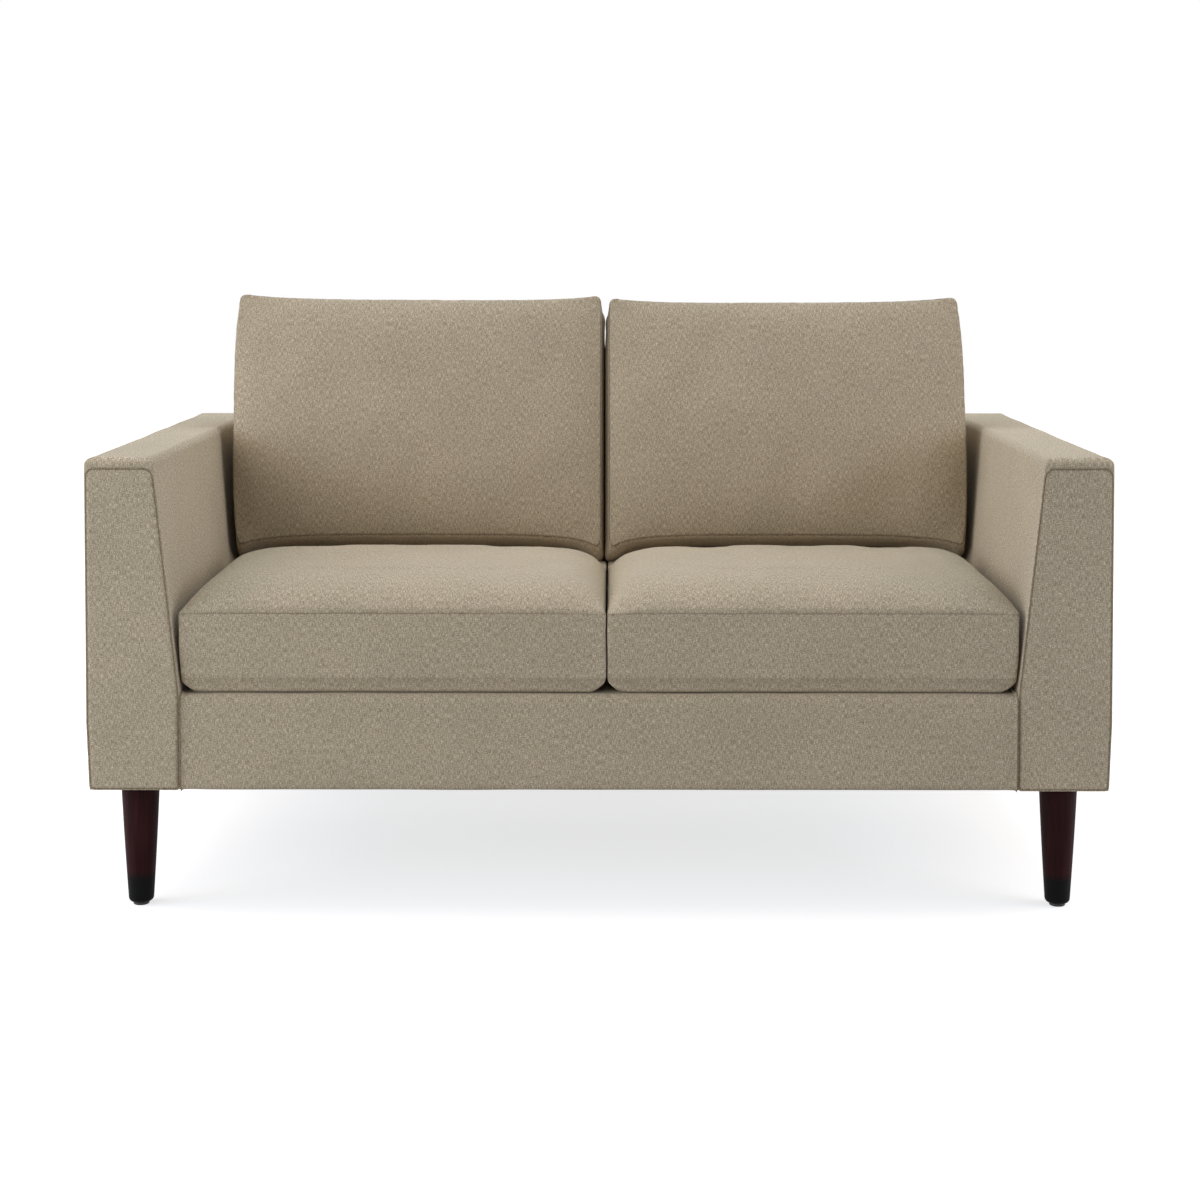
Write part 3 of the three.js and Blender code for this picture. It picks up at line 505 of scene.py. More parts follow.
# The panel is a little smaller than the arm and ends well below its rolled top. Each point of the wrap sews
# to the nearest point of the panel's outline, evened out a little so that the points don't bunch.
panel_path, panel_reach = rounded_path(arm_outline(edge_round, body_top - panel_drop, 2), True)
nearest = np.linalg.norm(arm_points[:, None] - panel_path[None], axis=2).argmin(axis=1)
nearest[-1] = len(panel_path) - 1
panel_places = np.maximum.accumulate(panel_reach[nearest])
evened = np.convolve(np.pad(panel_places, 4, mode="edge"), np.ones(9) / 9, mode="valid")
panel_places = 0.9 * panel_places + 0.1 * evened
panel_places[0], panel_places[-1] = 0, panel_reach[-1]
panel_line = on_line(panel_places, panel_reach, panel_path)
arm_turn = np.linalg.norm(panel_line - arm_points, axis=1)
middle_z = np.clip(panel_line[:, 1], hem + 50, body_top - 50)
arm_middle = np.stack([half_width - (half_width - arm_inner_x(middle_z)) / 2, middle_z], axis=1)


def arm_end(way):
    """The edge and the panel at the front (-1) or rear (1) end, as rings from the wrap inwards."""
    rings = []
    for angle in np.linspace(0, math.pi / 2, 7):
        section = arm_points + (panel_line - arm_points) * (1 - math.cos(angle))
        behind = rolled_back(section[:, 1]) + edge_round * (1 - math.sin(angle))
        rings.append((section, behind, arm_turn * (angle - math.pi / 2)))
    span = np.linalg.norm(arm_middle - panel_line, axis=1).mean()
    for distance in (*seam_steps, 13, 20, 30, 42, span):
        section = panel_line + (arm_middle - panel_line) * min(distance / span, 1)
        rings.append((section, rolled_back(section[:, 1]), distance))
    base, final, flat, seam = [], [], [], []
    for section, behind, distance in rings:
        base.append(np.stack([section[:, 0], way * (rear_y - behind), section[:, 1]], axis=1))
        dip = (panel_groove * groove_at(distance) + slack(0.5, *section.T, 90, 3, distance, 4, 30)
               + puckers(0.35, arm_places, 17, 5, distance, 5))
        final.append(base[-1] - np.array([0, way, 0]) * dip[:, None])
        flat.append(section + (panel_flat * way, 0))
        # Painted shade: the cloth's colour darkens in the groove of the seam round each panel.
        seam.append(np.full(len(section), groove_at(distance, 1.3)))
    return [np.array(values) for values in (base, final, flat, seam)]


def arm_wrap():
    """The cloth that runs round the arm between the two panels."""
    start = front_y + edge_round + rolled_back(arm_points[:, 1])
    y = start[:, None] * (1 - 2 * spaced(wrap_length, 22) / wrap_length)
    x, y, z, place = np.broadcast_arrays(arm_points[:, :1], y, arm_points[:, 1:], arm_places[:, None])
    base = np.stack([x, y, z], axis=-1)
    soft = slack(0.7, y, place, 210, 11, np.minimum(y - front_y, rear_y - y), 6, 60)
    inward = np.stack([arm_normals[:, 0], 0 * arm_places, arm_normals[:, 1]], axis=1)[:, None]
    return base, base + inward * soft[..., None], np.stack([place, y], axis=-1), np.zeros(y.shape)


for sign, side in ((-1, "left"), (1, "right")):
    patches = [(base * (sign, 1, 1), final * (sign, 1, 1), flat + (0, side_flat * sign), seam)
               for base, final, flat, seam in (arm_wrap(), arm_end(-1), arm_end(1))]
    make_piece(f"arm_upholstery_{side}", patches, "frame", upholstery,
               (f"arm_cover_{side}", f"arm_pad_{side}"))

# Front rail and deck
# The rail's cloth comes up from the hem over a padded edge and runs back under the cushions, where it
# is sewn to a plainer deck cloth over the springs. At both ends it is drawn in against the arms.

rail_front, rail_hem, rail_cap = front_y + 1.5, hem + 1.5, 80.0
sewn_down, sewn_round, sewn_gap = 9.0, 3.0, 0.5
deck_front, deck_rear = rail_front + rail_cap + sewn_gap, 193.6
rest_gap = 0.3
part_flat = 3000.0
decking = cloth_material("deck_cloth", (0.9, 0.9, 0.92))


def between_arms(corners, step_along, seed, tuck=3.0, depth=0.5):
    """Cloth that follows a path of (y, z, radius) and fills the width between the arms."""
    path, reach = rounded_path(corners, False)
    places = np.linspace(0, reach[-1], int(reach[-1] / step_along) + 1)
    point, normal = along_path(path, reach, places)
    limit = (arm_inner_x(point[:, 1]) - rest_gap)[:, None]
    x = -limit + 2 * limit * (spaced(2 * limit.mean(), 14) / (2 * limit.mean()))
    x, y, z, place = np.broadcast_arrays(x, point[:, :1], point[:, 1:], places[:, None])
    base = np.stack([x, y, z], axis=-1)
    away = limit - abs(x)
    dip = (tuck * groove_at(away, 2.6) + slack(depth, x, place, 160, seed, away, 4, 40)
           + 0.3 * (1 + ripple(0 * x, place, 19, seed + 1)) * groove_at(away - 7, 7))
    inward = np.stack([0 * places, normal[:, 0], normal[:, 1]], axis=1)[:, None]
    flat = np.stack([x, place + part_flat * seed], axis=-1)
    # The last grid is painted shade, which darkens the cloth's colour where it tucks in against the arms.
    return base, base + inward * dip[..., None], flat, groove_at(away, 1.2)


rail = between_arms([
    (front_y + 34, rail_hem), (rail_front, rail_hem, 2.5), (rail_front, deck, 10),
    (rail_front + rail_cap, deck, sewn_round), (rail_front + rail_cap, deck - sewn_down)], 6, 21)
make_piece("front_rail_upholstery", [rail], "frame", upholstery,
           ("front_rail_cover", "front_rail_pad"))
deck_patch = between_arms([
    (deck_front, deck - sewn_down), (deck_front, deck, sewn_round),
    (deck_rear, deck, sewn_round), (deck_rear, deck - sewn_down)], 14, 31, 8.0, 1.2)
make_piece("deck_upholstery", [deck_patch], "frame", decking, ("deck_cover", "deck_pad"))

# Back
# The inside back leans 13 degrees: cloth over foam, which folds over the top rail and a little way down the
# rear. There the flat outside back is blind-tacked under it and runs down to the hem.

lean = math.radians(13)
back_foot, top_round, fold_height, fold_tuck = front_y + 626, 18.0, 30.0, 4.0
fold_end = body_top - top_round - fold_height
inside_top_y = back_foot + (body_top - deck) * math.tan(lean)

inside_back = between_arms([
    (rear_y - fold_tuck, fold_end), (rear_y, fold_end + 1, 1.5), (rear_y, body_top, top_round),
    (inside_top_y, body_top, top_round), (back_foot, deck, 30), (back_foot, deck - 16)], 8, 41)
make_piece("inside_back_upholstery", [inside_back], "frame", upholstery,
           ("inside_back_cover", "back_pad"))
outside_back = between_arms([
    (rear_y - 34, rail_hem), (rear_y, rail_hem, 2.5), (rear_y, fold_end - 0.6, 1.5),
    (rear_y - fold_tuck, fold_end)], 10, 51, 2.5, 0.6)
make_piece("outside_back_panel", [outside_back], "frame", upholstery,
           ("outside_back_cover",))

# Dust cover
# A black nonwoven sheet closes the settee from below. It is stapled under the frame, is cut round each leg,
# and sags a little between its edges.

leg_x, leg_y, leg_top_radius = 696.0, 366.0, 29.0
hole_radius, hole_pull, dust_step = leg_top_radius + 1, 6.0, 11.0
nonwoven = speckled_material("dust_cloth", (0.011, 0.011, 0.012), (0.03, 0.03, 0.032), 900, 0.9, 0.0004,
                             Specular_IOR_Level=0.1)
dust_low, dust_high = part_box("dust_cover")
(dust_left, dust_front, _), (dust_right, dust_rear, dust_top) = np.array([dust_low, dust_high]) * 1000
dust_x, dust_y = np.meshgrid(*[np.linspace(start, end, int((end - start) / dust_step) + 1)
                               for start, end in ((dust_left, dust_right), (dust_front, dust_rear))])
dust = np.stack([dust_x, dust_y, np.full(dust_x.shape, dust_top - 0.4)], axis=-1)
for hole_centre in [(x, y) for x in (-leg_x, leg_x) for y in (-leg_y, leg_y)]:
    away = dust[..., :2] - hole_centre
    distance = np.linalg.norm(away, axis=-1)
    near = distance < hole_radius + hole_pull
    dust[near, :2] = hole_centre + (away / np.maximum(distance, 0.01)[..., None] * hole_radius)[near]
dust_x, dust_y = dust[..., 0], dust[..., 1]
edge_away = np.minimum(dust_right - abs(dust_x), dust_rear - abs(dust_y))
dust[..., 2] -= (2.2 * smooth(edge_away / 120) * (0.75 + 0.25 * ripple(dust_x, dust_y, 130, 61))
                 + 0.35 * (1 + ripple(dust_x, dust_y, 28, 62)) * groove_at(edge_away - 8, 12))
dust_points = dust.reshape(-1, 3)
dust_faces = [quad.tolist() for quad in quads_of(np.arange(dust_x.size).reshape(dust_x.shape))
              if math.hypot(*(abs(dust_points[quad, :2].mean(0)) - (leg_x, leg_y))) > hole_radius - 0.5]
dust_mesh = bpy.data.meshes.new("dust_cover_sheet")
dust_mesh.from_pydata((dust_points / 1000).tolist(), [], dust_faces)
dust_mesh.shade_smooth()
dust_mesh.materials.append(nonwoven)
dust_piece = bpy.data.objects.new("dust_cover_sheet", dust_mesh)
scene.collection.objects.link(dust_piece)
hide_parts("dust_cover")
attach(dust_piece, "frame")

# Staples
# Bent steel wire, a crown with two legs. A row of them along all four edges holds the dust cover to the
# frame, one every few centimetres, a little out of line with each other.

staple_crown, staple_leg, staple_wire = 10.0, 1.3, 0.45
staple_inset, staple_spacing, staple_turn, staple_depth = 9.0, 44.0, 0.12, 1.4


def plain_patch(grid):
    """A patch that has no seams and isn't cloth."""
    return grid, grid, grid[..., :2], np.zeros(grid.shape[:2])


def wire_patch(path, across, radius, sides=6):
    """A round wire along a flat path in millimetres, closed at both ends. across is the plane's normal."""
    path = np.array(path, float)
    way = np.gradient(path, axis=0)
    way /= np.linalg.norm(way, axis=1)[:, None]
    path, way = [np.concatenate([line[:1], line[:1], line, line[-1:], line[-1:]]) for line in (path, way)]
    widths, shift = np.full(len(path), radius), np.zeros(len(path))
    widths[[0, -1]], widths[[1, -2]] = 0, radius * 0.7
    shift[[0, 1]], shift[[-2, -1]] = (-radius, -radius * 0.8), (radius * 0.8, radius)
    angles = np.linspace(0, math.tau, sides + 1)[None, :, None]
    ring = np.cos(angles) * np.array(across, float) + np.sin(angles) * np.cross(way, across)[:, None]
    grid = (path + way * shift[:, None])[:, None] + widths[:, None, None] * ring
    grid[:, -1] = grid[:, 0]
    return plain_patch(grid)


# Geometry Nodes: copies of one piece along a line, each turned a little at random about the upright axis.
repeat_tree = bpy.data.node_groups.new("repeat_along_line", "GeometryNodeTree")
for label, kind in (("Geometry", "Geometry"), ("Piece", "Object"), ("Spacing", "Float"), ("Turn", "Float"),
                    ("Seed", "Int"), ("Finish", "Material")):
    repeat_tree.interface.new_socket(label, in_out="INPUT", socket_type=f"NodeSocket{kind}")
repeat_tree.interface.new_socket("Geometry", in_out="OUTPUT", socket_type="NodeSocketGeometry")
given = repeat_tree.nodes.new("NodeGroupInput").outputs
line = link_node(repeat_tree, "GeometryNodeMeshToCurve", {"Mesh": given["Geometry"]}).outputs[0]
spots = link_node(repeat_tree, "GeometryNodeCurveToPoints", {"Curve": line, "Length": given["Spacing"]},
                  mode="LENGTH").outputs
along = link_node(repeat_tree, "FunctionNodeAlignRotationToVector", {"Vector": spots["Tangent"]},
                  axis="X", pivot_axis="Z").outputs[0]
least = maths(repeat_tree, "MULTIPLY", given["Turn"], -1.0)
chance = link_node(repeat_tree, "FunctionNodeRandomValue", {2: least, 3: given["Turn"],
                   "Seed": given["Seed"]}).outputs[1]
turn = link_node(repeat_tree, "ShaderNodeCombineXYZ", {2: chance}).outputs[0]
turned = link_node(repeat_tree, "FunctionNodeRotateRotation", {"Rotation": along, "Rotate By": turn},
                   rotation_space="LOCAL").outputs[0]
piece = link_node(repeat_tree, "GeometryNodeObjectInfo", {"Object": given["Piece"]}).outputs["Geometry"]
copies = link_node(repeat_tree, "GeometryNodeInstanceOnPoints", {"Points": spots["Points"],
                   "Instance": piece, "Rotation": turned}).outputs[0]
solid = link_node(repeat_tree, "GeometryNodeRealizeInstances", {"Geometry": copies}).outputs[0]
painted = link_node(repeat_tree, "GeometryNodeSetMaterial", {"Geometry": solid,
                    "Material": given["Finish"]}).outputs[0]
link_node(repeat_tree, "NodeGroupOutput", {"Geometry": painted})


def repeated(name, path, closed, piece, spacing, turn, seed, finish):
    """A plain mesh of a piece repeated along a path in millimetres. The piece itself is then removed."""
    mesh = bpy.data.meshes.new(name)
    edges = [(k, k + 1) for k in range(len(path) - 1)] + ([(len(path) - 1, 0)] if closed else [])
    mesh.from_pydata((np.array(path) / 1000).tolist(), edges, [])
    holder = bpy.data.objects.new(name, mesh)
    modifier = holder.modifiers.new("repeat", "NODES")
    modifier.node_group = repeat_tree
    values = {"Piece": piece, "Spacing": spacing / 1000, "Turn": turn, "Seed": seed, "Finish": finish}
    for item in repeat_tree.interface.items_tree:
        if item.name in values:
            modifier[item.identifier] = values[item.name]
    scene.collection.objects.link(holder)
    shape = bpy.data.meshes.new_from_object(holder.evaluated_get(bpy.context.evaluated_depsgraph_get()))
    holder.modifiers.clear()
    holder.data = shape
    shape.shade_smooth()
    bpy.data.objects.remove(piece)
    return holder


half_crown = staple_crown / 2
staple_half = [(half_crown, staple_leg), (half_crown, 0.5), (half_crown - 0.4, 0.1), (half_crown - 1, 0)]
staple_path = [(-x, 0, z) for x, z in staple_half] + [(x, 0, z) for x, z in reversed(staple_half)]
staple = welded_object("staple", [wire_patch(staple_path, (0, 1, 0), staple_wire)])
staple_x, staple_y, staple_z = dust_right - staple_inset, dust_rear - staple_inset, dust_top - staple_depth
staple_line = [(x * staple_x, y * staple_y, staple_z) for x, y in ((-1, -1), (1, -1), (1, 1), (-1, 1))]
staples = repeated("dust_cover_staples", staple_line, True, staple, staple_spacing, staple_turn, 7, plated_steel)
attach(staples, "frame")

# Legs and glides
# Each leg is a tapered hardwood turning with a rounded foot, stained reddish brown and black below, and hangs
# on a bolt from its plate. A nylon glide is pressed into its foot.

leg_foot_radius, foot_round, leg_swell, leg_low, leg_high = 19.0, 7.0, 0.5, 4.3, hem + 1.4
leg_wood = grain_material("stained_leg_wood", (0.0135, 0.0027, 0.003), (0.037, 0.0085, 0.0088), 2, 0.55,
                          specular=0.07, foot=0.049)
nylon = speckled_material("glide_nylon", (0.010, 0.010, 0.011), (0.02, 0.02, 0.021), 700, 0.45, 0.0001)


def lathe(name, profile, centre, sides, finish, node):
    """A turned piece from (radius, height) in millimetres, from the axis below to the axis above."""
    angles = np.linspace(0, math.tau, sides + 1)
    radius, height = np.array(profile, float).T[..., None]
    x, y, z = np.broadcast_arrays(centre[0] + radius * np.cos(angles), centre[1] + radius * np.sin(angles), height)
    base = np.stack([x, y, z], axis=-1)
    base[:, -1] = base[:, 0]
    flat = np.stack([angles * 30 + 0 * x, z], axis=-1)
    make_piece(name, [(base, base, flat, 0 * x)], "frame", finish, (node,))


leg_profile = [(0, leg_low), (leg_foot_radius - foot_round, leg_low)]
for angle in np.linspace(0, math.pi / 2, 7)[1:]:
    leg_profile.append((leg_foot_radius - foot_round * (1 - math.sin(angle)),
                        leg_low + foot_round * (1 - math.cos(angle))))
taper_low = leg_low + foot_round
for share in np.linspace(0, 1, 12)[1:]:
    radius = leg_foot_radius + (leg_top_radius - leg_foot_radius) * share
    leg_profile.append((radius + leg_swell * math.sin(math.pi * share), taper_low + (leg_high - taper_low) * share))
leg_profile.append((0, leg_high))
glide_profile = [(0, 0), (11.2, 0), (12, 0.8), (12, 3.6), (11.6, 4), (0, 4)]
for end, end_sign in (("front", -1), ("rear", 1)):
    for side, sign in (("left", -1), ("right", 1)):
        spot = (sign * leg_x, end_sign * leg_y)
        lathe(f"turned_leg_{end}_{side}", leg_profile, spot, 48, leg_wood, f"leg_{end}_{side}")
        lathe(f"nylon_glide_{end}_{side}", glide_profile, spot, 32, nylon, f"glide_{end}_{side}")

# Loose cushions
# Each is foam in fibre wadding in a cloth cover: a crown and a belly sewn to a band. They lie loose on the deck
# The form is inflated as cloth with its seams held, kept within the space of its solid, and then gets its seam
# grooves, puckers and soft dents, and painted shade in the cloth's colour along its seams.

zip_length, zip_width, zip_recess = 440.0, 26.0, 6.0
draw_flatness, crown_steepness = 4, 1.5
press_start, press_fade = 0.2, 0.35
inner_start, inner_fade = 0.93, 0.05
upper_share, lower_share = 1.0, 0.45
crown_over, crown_under, side_over = 0.4, 2.5, 0.6
# The belly's seams carry painted shade at a share of the crown's strength.
belly_flat, band_flat, belly_seam_shade = 2000.0, 4000.0, 0.8
cloth_frames = 20
# In each set of values, line is how strongly painted shade darkens the cloth's colour along the seams, and the
# width given next to it is how wide that painted shade is.
seat = dict(
    band=97.0, crown=50.0, flatness=(10.0, 7.0), pressed=0.92, corner=6.0,
    belly=23.0, belly_round=(26.0, 14.0), belly_power=(1.5, 2.6),
    bulge=dict(rear=2.0, outer=1.5, front=3.0, inner=0.3), draw=dict(rear=3.0, outer=2.0, front=2.0, inner=0.3),
    pull=dict(rear=0.0, outer=0.0, front=0.0, inner=0.5), pinch=0.0, droop=(0.0, 0.0), shoulder=0.0,
    dents=1.8, wave=0.4, groove=0.9, line=0.4, seam_shade_width=1.2, zip_way=1,
    split=12.0, side_room=1.5, fill=0.85, turn=np.eye(3),
    top_spread=dict(left=0.0, right=0.0), top_sag=dict(left=(0.0, 0.0), right=(0.0, 0.0)))
back = dict(
    band=150.0, crown=28.0, flatness=(4.0, 4.0), pressed=0.0, corner=12.0,
    belly=18.0, belly_round=(60.0, 60.0), belly_power=(1.5, 1.5),
    bulge=dict(rear=4.0, outer=4.5, front=14.0, inner=0.3), draw=dict(rear=8.0, outer=-8.0, front=13.0, inner=0.0),
    pull=dict(rear=0.0, outer=2.0, front=2.0, inner=6.5), pinch=1.0, droop=(19.0, 10.0), shoulder=3.0,
    dents=2.4, wave=1.3, groove=1.5, line=1.0, seam_shade_width=1.7, zip_way=-1,
    split=8.0, side_room=2.0, fill=0.75,
    turn=np.stack([(1, 0, 0), (0, math.sin(lean), math.cos(lean)), (0, -math.cos(lean), math.sin(lean))], axis=1),
    top_spread=dict(left=8.5, right=0.0), top_sag=dict(left=(0.0, 3.0), right=(7.0, 5.0)))
seat_low = deck + rest_gap + seat["belly"]
seat.update(depth=(back_foot - 1 - seat["bulge"]["rear"]) - (front_y + 8), side_height=seat_low,
            flare=0.3 * float(arm_inner_x(seat_low + seat["band"]) - arm_inner_x(seat_low)))
back.update(depth=437.0, side_height=seat_low + seat["band"] / 2, flare=0.0)


def cushion_sides(size):
    """Dense outline [n, 2] of each side in plan, from one corner's middle to the next: front, outer or
    inner at the right, rear, and outer or inner at the left."""
    half = np.array([size["width"] / 2, size["depth"] / 2])
    corner, draw = size["corner"], size["draw"]
    right, left = (draw["outer"], draw["inner"]) if size["sign"] > 0 else (draw["inner"], draw["outer"])
    sides = []
    for angle, amount in ((-90, draw["front"]), (0, right), (90, draw["rear"]), (180, left)):
        out = np.array([math.cos(math.radians(angle)), math.sin(math.radians(angle))])
        way = np.array([-out[1], out[0]])
        length, far = abs(way @ (half - corner)), abs(out @ half)
        arc = np.linspace(-math.pi / 4, 0, 9)[:-1, None]
        first, last = [way * end * length + out * (far - corner)
                       + corner * (np.sin(turn) * way + np.cos(turn) * out)
                       for end, turn in ((-1, arc), (1, -arc[::-1]))]
        t = 2 * np.linspace(0, 1, 80)[:, None] - 1
        middle = way * t * length + out * (far - amount * (1 - t ** draw_flatness))
        sides.append(np.concatenate([first, middle, last]))
    return sides


def at_shares(line, shares):
    """Points of a line at shares of its length."""
    reach = reach_of(line)
    return on_line(np.array(shares) * reach[-1], reach, line)


def cushion_grids(size, across, along, up, swell):
    """The crown, the belly and the band of a cushion as grids of points in its own frame."""
    front, right, rear, left = cushion_sides(size)
    low, high = at_shares(front, across), at_shares(rear[::-1], across)
    start, end = at_shares(left[::-1], along), at_shares(right, along)
    s, t = [share[..., None] for share in np.meshgrid(across, along, indexing="ij")]
    plan = ((1 - t) * low[:, None] + t * high[:, None] + (1 - s) * start[None] + s * end[None]
            - (1 - s) * (1 - t) * low[0] - s * (1 - t) * low[-1] - (1 - s) * t * high[0] - s * t * high[-1])
    flat_across, flat_along = size["flatness"]
    fall = ((1 - abs(2 * s - 1) ** flat_across) * (1 - abs(2 * t - 1) ** flat_along)) ** (1 / crown_steepness)
    fall = fall * (1 - size["pressed"] * smooth((2 * t - 1 - press_start) / press_fade))
    crown = np.concatenate([plan, size["band"] + size["crown"] * swell * fall], axis=-1)
    half = np.array([size["width"] / 2, size["depth"] / 2])
    depth = size["belly"]
    for share, reach, length, power in zip((s, t), size["belly_round"], half, size["belly_power"]):
        edge = 1 - np.clip((1 - abs(2 * share - 1)) * length / reach, 0, 1)
        depth = depth * (1 - edge ** power) ** (1 / power)
    belly = np.concatenate([plan, -depth], axis=-1)
    loop = np.concatenate([low, end[1:], high[::-1][1:], start[::-1][1:]])
    v = np.asarray(up)[:, None, None]
    bulge, outer = size["bulge"], loop[:, :1] * size["sign"] > 0
    grow = np.concatenate([np.where(outer, bulge["outer"], bulge["inner"]),
                           np.where(loop[:, 1:] > 0, bulge["rear"], bulge["front"])], axis=1)
    arch = np.sin(math.pi * v)
    profile = np.where(outer, arch, np.maximum(arch, 0) ** 0.4)
    grow = grow * swell * np.concatenate([profile, np.broadcast_to(arch, profile.shape)], axis=-1)
    height = np.broadcast_to(size["band"] * v, (len(up), len(loop), 1))
    band = np.concatenate([loop[None] * (1 + grow / half), height], axis=-1)
    for grid in (crown, belly, band):
        side = np.maximum(grid[..., 0] * size["sign"] / half[0], 0)
        spread = size["spread"] * (grid[..., 1] / size["depth"] + 0.5)
        grid[..., 0] += size["sign"] * side * (size["flare"] * np.clip(grid[..., 2] / size["band"], 0, 1) + spread)
    return crown, belly, band


def inflate(grids, held, pressure, growth, cap):
    """Blows the welded grids up as cloth, with the held points pinned, and returns them as grids."""
    points = np.concatenate([grid.reshape(-1, 3) for grid in grids])
    _, first, owner = np.unique(np.round(points, 2), axis=0, return_index=True, return_inverse=True)
    rest = points[first]
    parts = np.split(owner.reshape(-1), np.cumsum([grid[..., 0].size for grid in grids])[:-1])
    indices = [part.reshape(grid.shape[:2]) for part, grid in zip(parts, grids)]
    mesh = bpy.data.meshes.new("inflated")
    mesh.from_pydata((rest / 1000).tolist(), [], np.concatenate([quads_of(index) for index in indices]).tolist())
    cloth = bpy.data.objects.new("inflated", mesh)
    scene.collection.objects.link(cloth)
    flags = np.concatenate([flag.reshape(-1) for flag in held])[first]
    cloth.vertex_groups.new(name="held").add([int(i) for i in np.nonzero(flags)[0]], 1.0, "REPLACE")
    modifier = cloth.modifiers.new("cloth", "CLOTH")
    settings = modifier.settings
    settings.quality = 6
    settings.mass = 0.3
    settings.tension_stiffness = settings.compression_stiffness = 12
    settings.shear_stiffness = 4
    settings.bending_stiffness = 0.4
    settings.use_pressure = True
    settings.uniform_pressure_force = pressure
    settings.shrink_min = -growth
    settings.vertex_group_mass = "held"
    settings.effector_weights.gravity = 0
    modifier.point_cache.frame_end = cloth_frames
    for number in range(1, cloth_frames + 1):
        scene.frame_set(number)
    shape = cloth.evaluated_get(bpy.context.evaluated_depsgraph_get()).data
    blown = np.empty(len(shape.vertices) * 3)
    shape.vertices.foreach_get("co", blown)
    moved = blown.reshape(-1, 3) * 1000 - rest
    distance = np.maximum(np.linalg.norm(moved, axis=1), 1e-6)
    blown = rest + moved * (np.minimum(distance, cap) / distance)[:, None]
    bpy.data.objects.remove(cloth)
    bpy.data.meshes.remove(mesh)
    scene.frame_set(1)
    return [blown[index] for index in indices]


def resampled(grid, old, new):
    """Smooth values of a grid along its first axis at new places."""
    slope = np.gradient(grid, old, axis=0, edge_order=2)
    k = np.clip(np.searchsorted(old, new, side="right") - 1, 0, len(old) - 2)
    step = (old[k + 1] - old[k])[:, None, None]
    t = (new - old[k])[:, None, None] / step
    return ((2 * t ** 3 - 3 * t ** 2 + 1) * grid[k] + (t ** 3 - 2 * t ** 2 + t) * step * slope[k]
            + (3 * t ** 2 - 2 * t ** 3) * grid[k + 1] + (t ** 3 - t ** 2) * step * slope[k + 1])


def fine_grid(grid, old_rows, new_rows, old_columns, new_columns):
    half = resampled(grid, old_rows, new_rows)
    return resampled(half.transpose(1, 0, 2), old_columns, new_columns).transpose(1, 0, 2)


def loop_shares(size, shares):
    """Places round the band of the points that come from shares of its four sides."""
    width, depth = size["width"], size["depth"]
    across, along = shares[0] * width, shares[1] * depth
    parts = [across, width + along[1:], width + depth + across[1:], 2 * width + depth + along[1:]]
    return np.concatenate(parts) / (2 * (width + depth))


def outward(grid, from_middle):
    """Unit normals of a grid of points, on the side that faces away from its middle."""
    normal = np.cross(np.gradient(grid, axis=0), np.gradient(grid, axis=1))
    normal /= np.maximum(np.linalg.norm(normal, axis=-1), 1e-9)[..., None]
    return normal * np.sign((from_middle * normal).sum())


def laid_flat(grid, axis):
    """Distance along the cloth from a grid's middle row, so that the weave keeps its size on steep edges."""
    step = np.insert(np.linalg.norm(np.diff(grid, axis=axis), axis=-1), 0, 0, axis=axis)
    distance = np.cumsum(step, axis=axis)
    return distance - np.take(distance, [grid.shape[axis] // 2], axis=axis)


def seam_pull(size, grid, seam, corner):
    """How far the tight seam draws the cloth inwards in plan, where the band swells out behind it."""
    pull, (x, y) = size["pull"], (grid[..., 0], grid[..., 1])
    reach = 1 - (1 - seam) * (1 - corner)
    sides = np.where(x * size["sign"] > 0, pull["outer"], pull["inner"]) * np.sign(x) * reach
    ends = np.where(y > 0, pull["rear"], pull["front"]) * np.sign(y) * seam
    return np.stack([sides * groove_at(size["width"] / 2 - abs(x), 24),
                     ends * groove_at(size["depth"] / 2 - abs(y), 24)], axis=-1)


def droop(size, grid):
    """How far the foot of a back cushion hangs: at its two lower corners, into the hollows beside the seat
    crowns, and all along the seam, where the band rolls under."""
    from_inner, from_outer = [np.maximum(size["width"] / 2 + way * grid[..., 0] * size["sign"], 0)
                              for way in (1, -1)]
    from_foot = np.maximum(size["depth"] / 2 + grid[..., 1], 0)
    behind = np.maximum(size["band"] - grid[..., 2], 0)
    reach = smooth(grid[..., 2] / size["band"] / 0.6 - 0.3) * (1 - 0.65 * groove_at(behind, 16))
    hang = size["droop"][0] * groove_at(from_inner, 34) + size["droop"][1] * groove_at(from_outer, 30)
    roll = size["shoulder"] * behind / 10 * np.exp(1 - behind / 10)
    return (hang * reach + roll) * groove_at(from_foot, 28)


def cushion_form(size, target, fine, up):
    """The grids of a cushion blown up as cloth and kept near those of its solid, the target."""
    coarse = [np.linspace(0, 1, int(size[length] / 12) + 1) for length in ("width", "depth", "band")]
    grids = cushion_grids(size, *coarse, 0.8)
    held = [np.zeros(grid.shape[:2]) for grid in grids]
    for flag in held:
        flag[[0, -1]] = 1
    held[0][:, [0, -1]] = 1
    held[1][:] = 1
    crown, _, band = inflate(grids, held, 4.0, 0.012, 24.0)
    crown = fine_grid(crown, coarse[0], fine[0], coarse[1], fine[1])
    band = fine_grid(band, coarse[2], up, loop_shares(size, coarse), loop_shares(size, fine))
    ceiling = target[0][..., 2]
    rise = crown[..., 2] - size["band"]
    rise *= size["crown"] / np.percentile(rise, 99)
    over = size["band"] + rise - ceiling
    crown[..., 2] = ceiling + np.where(over > 0, crown_over * np.tanh(over / crown_over),
                                       np.maximum(over, -crown_under) * 0.8)
    crown[..., :2] = target[0][..., :2]
    moved = band[..., :2] - target[2][..., :2]
    moved *= side_over / np.maximum(np.linalg.norm(moved, axis=-1), side_over)[..., None]
    band = target[2] + np.concatenate([moved, 0 * moved[..., :1]], axis=-1)
    return crown, target[1], band


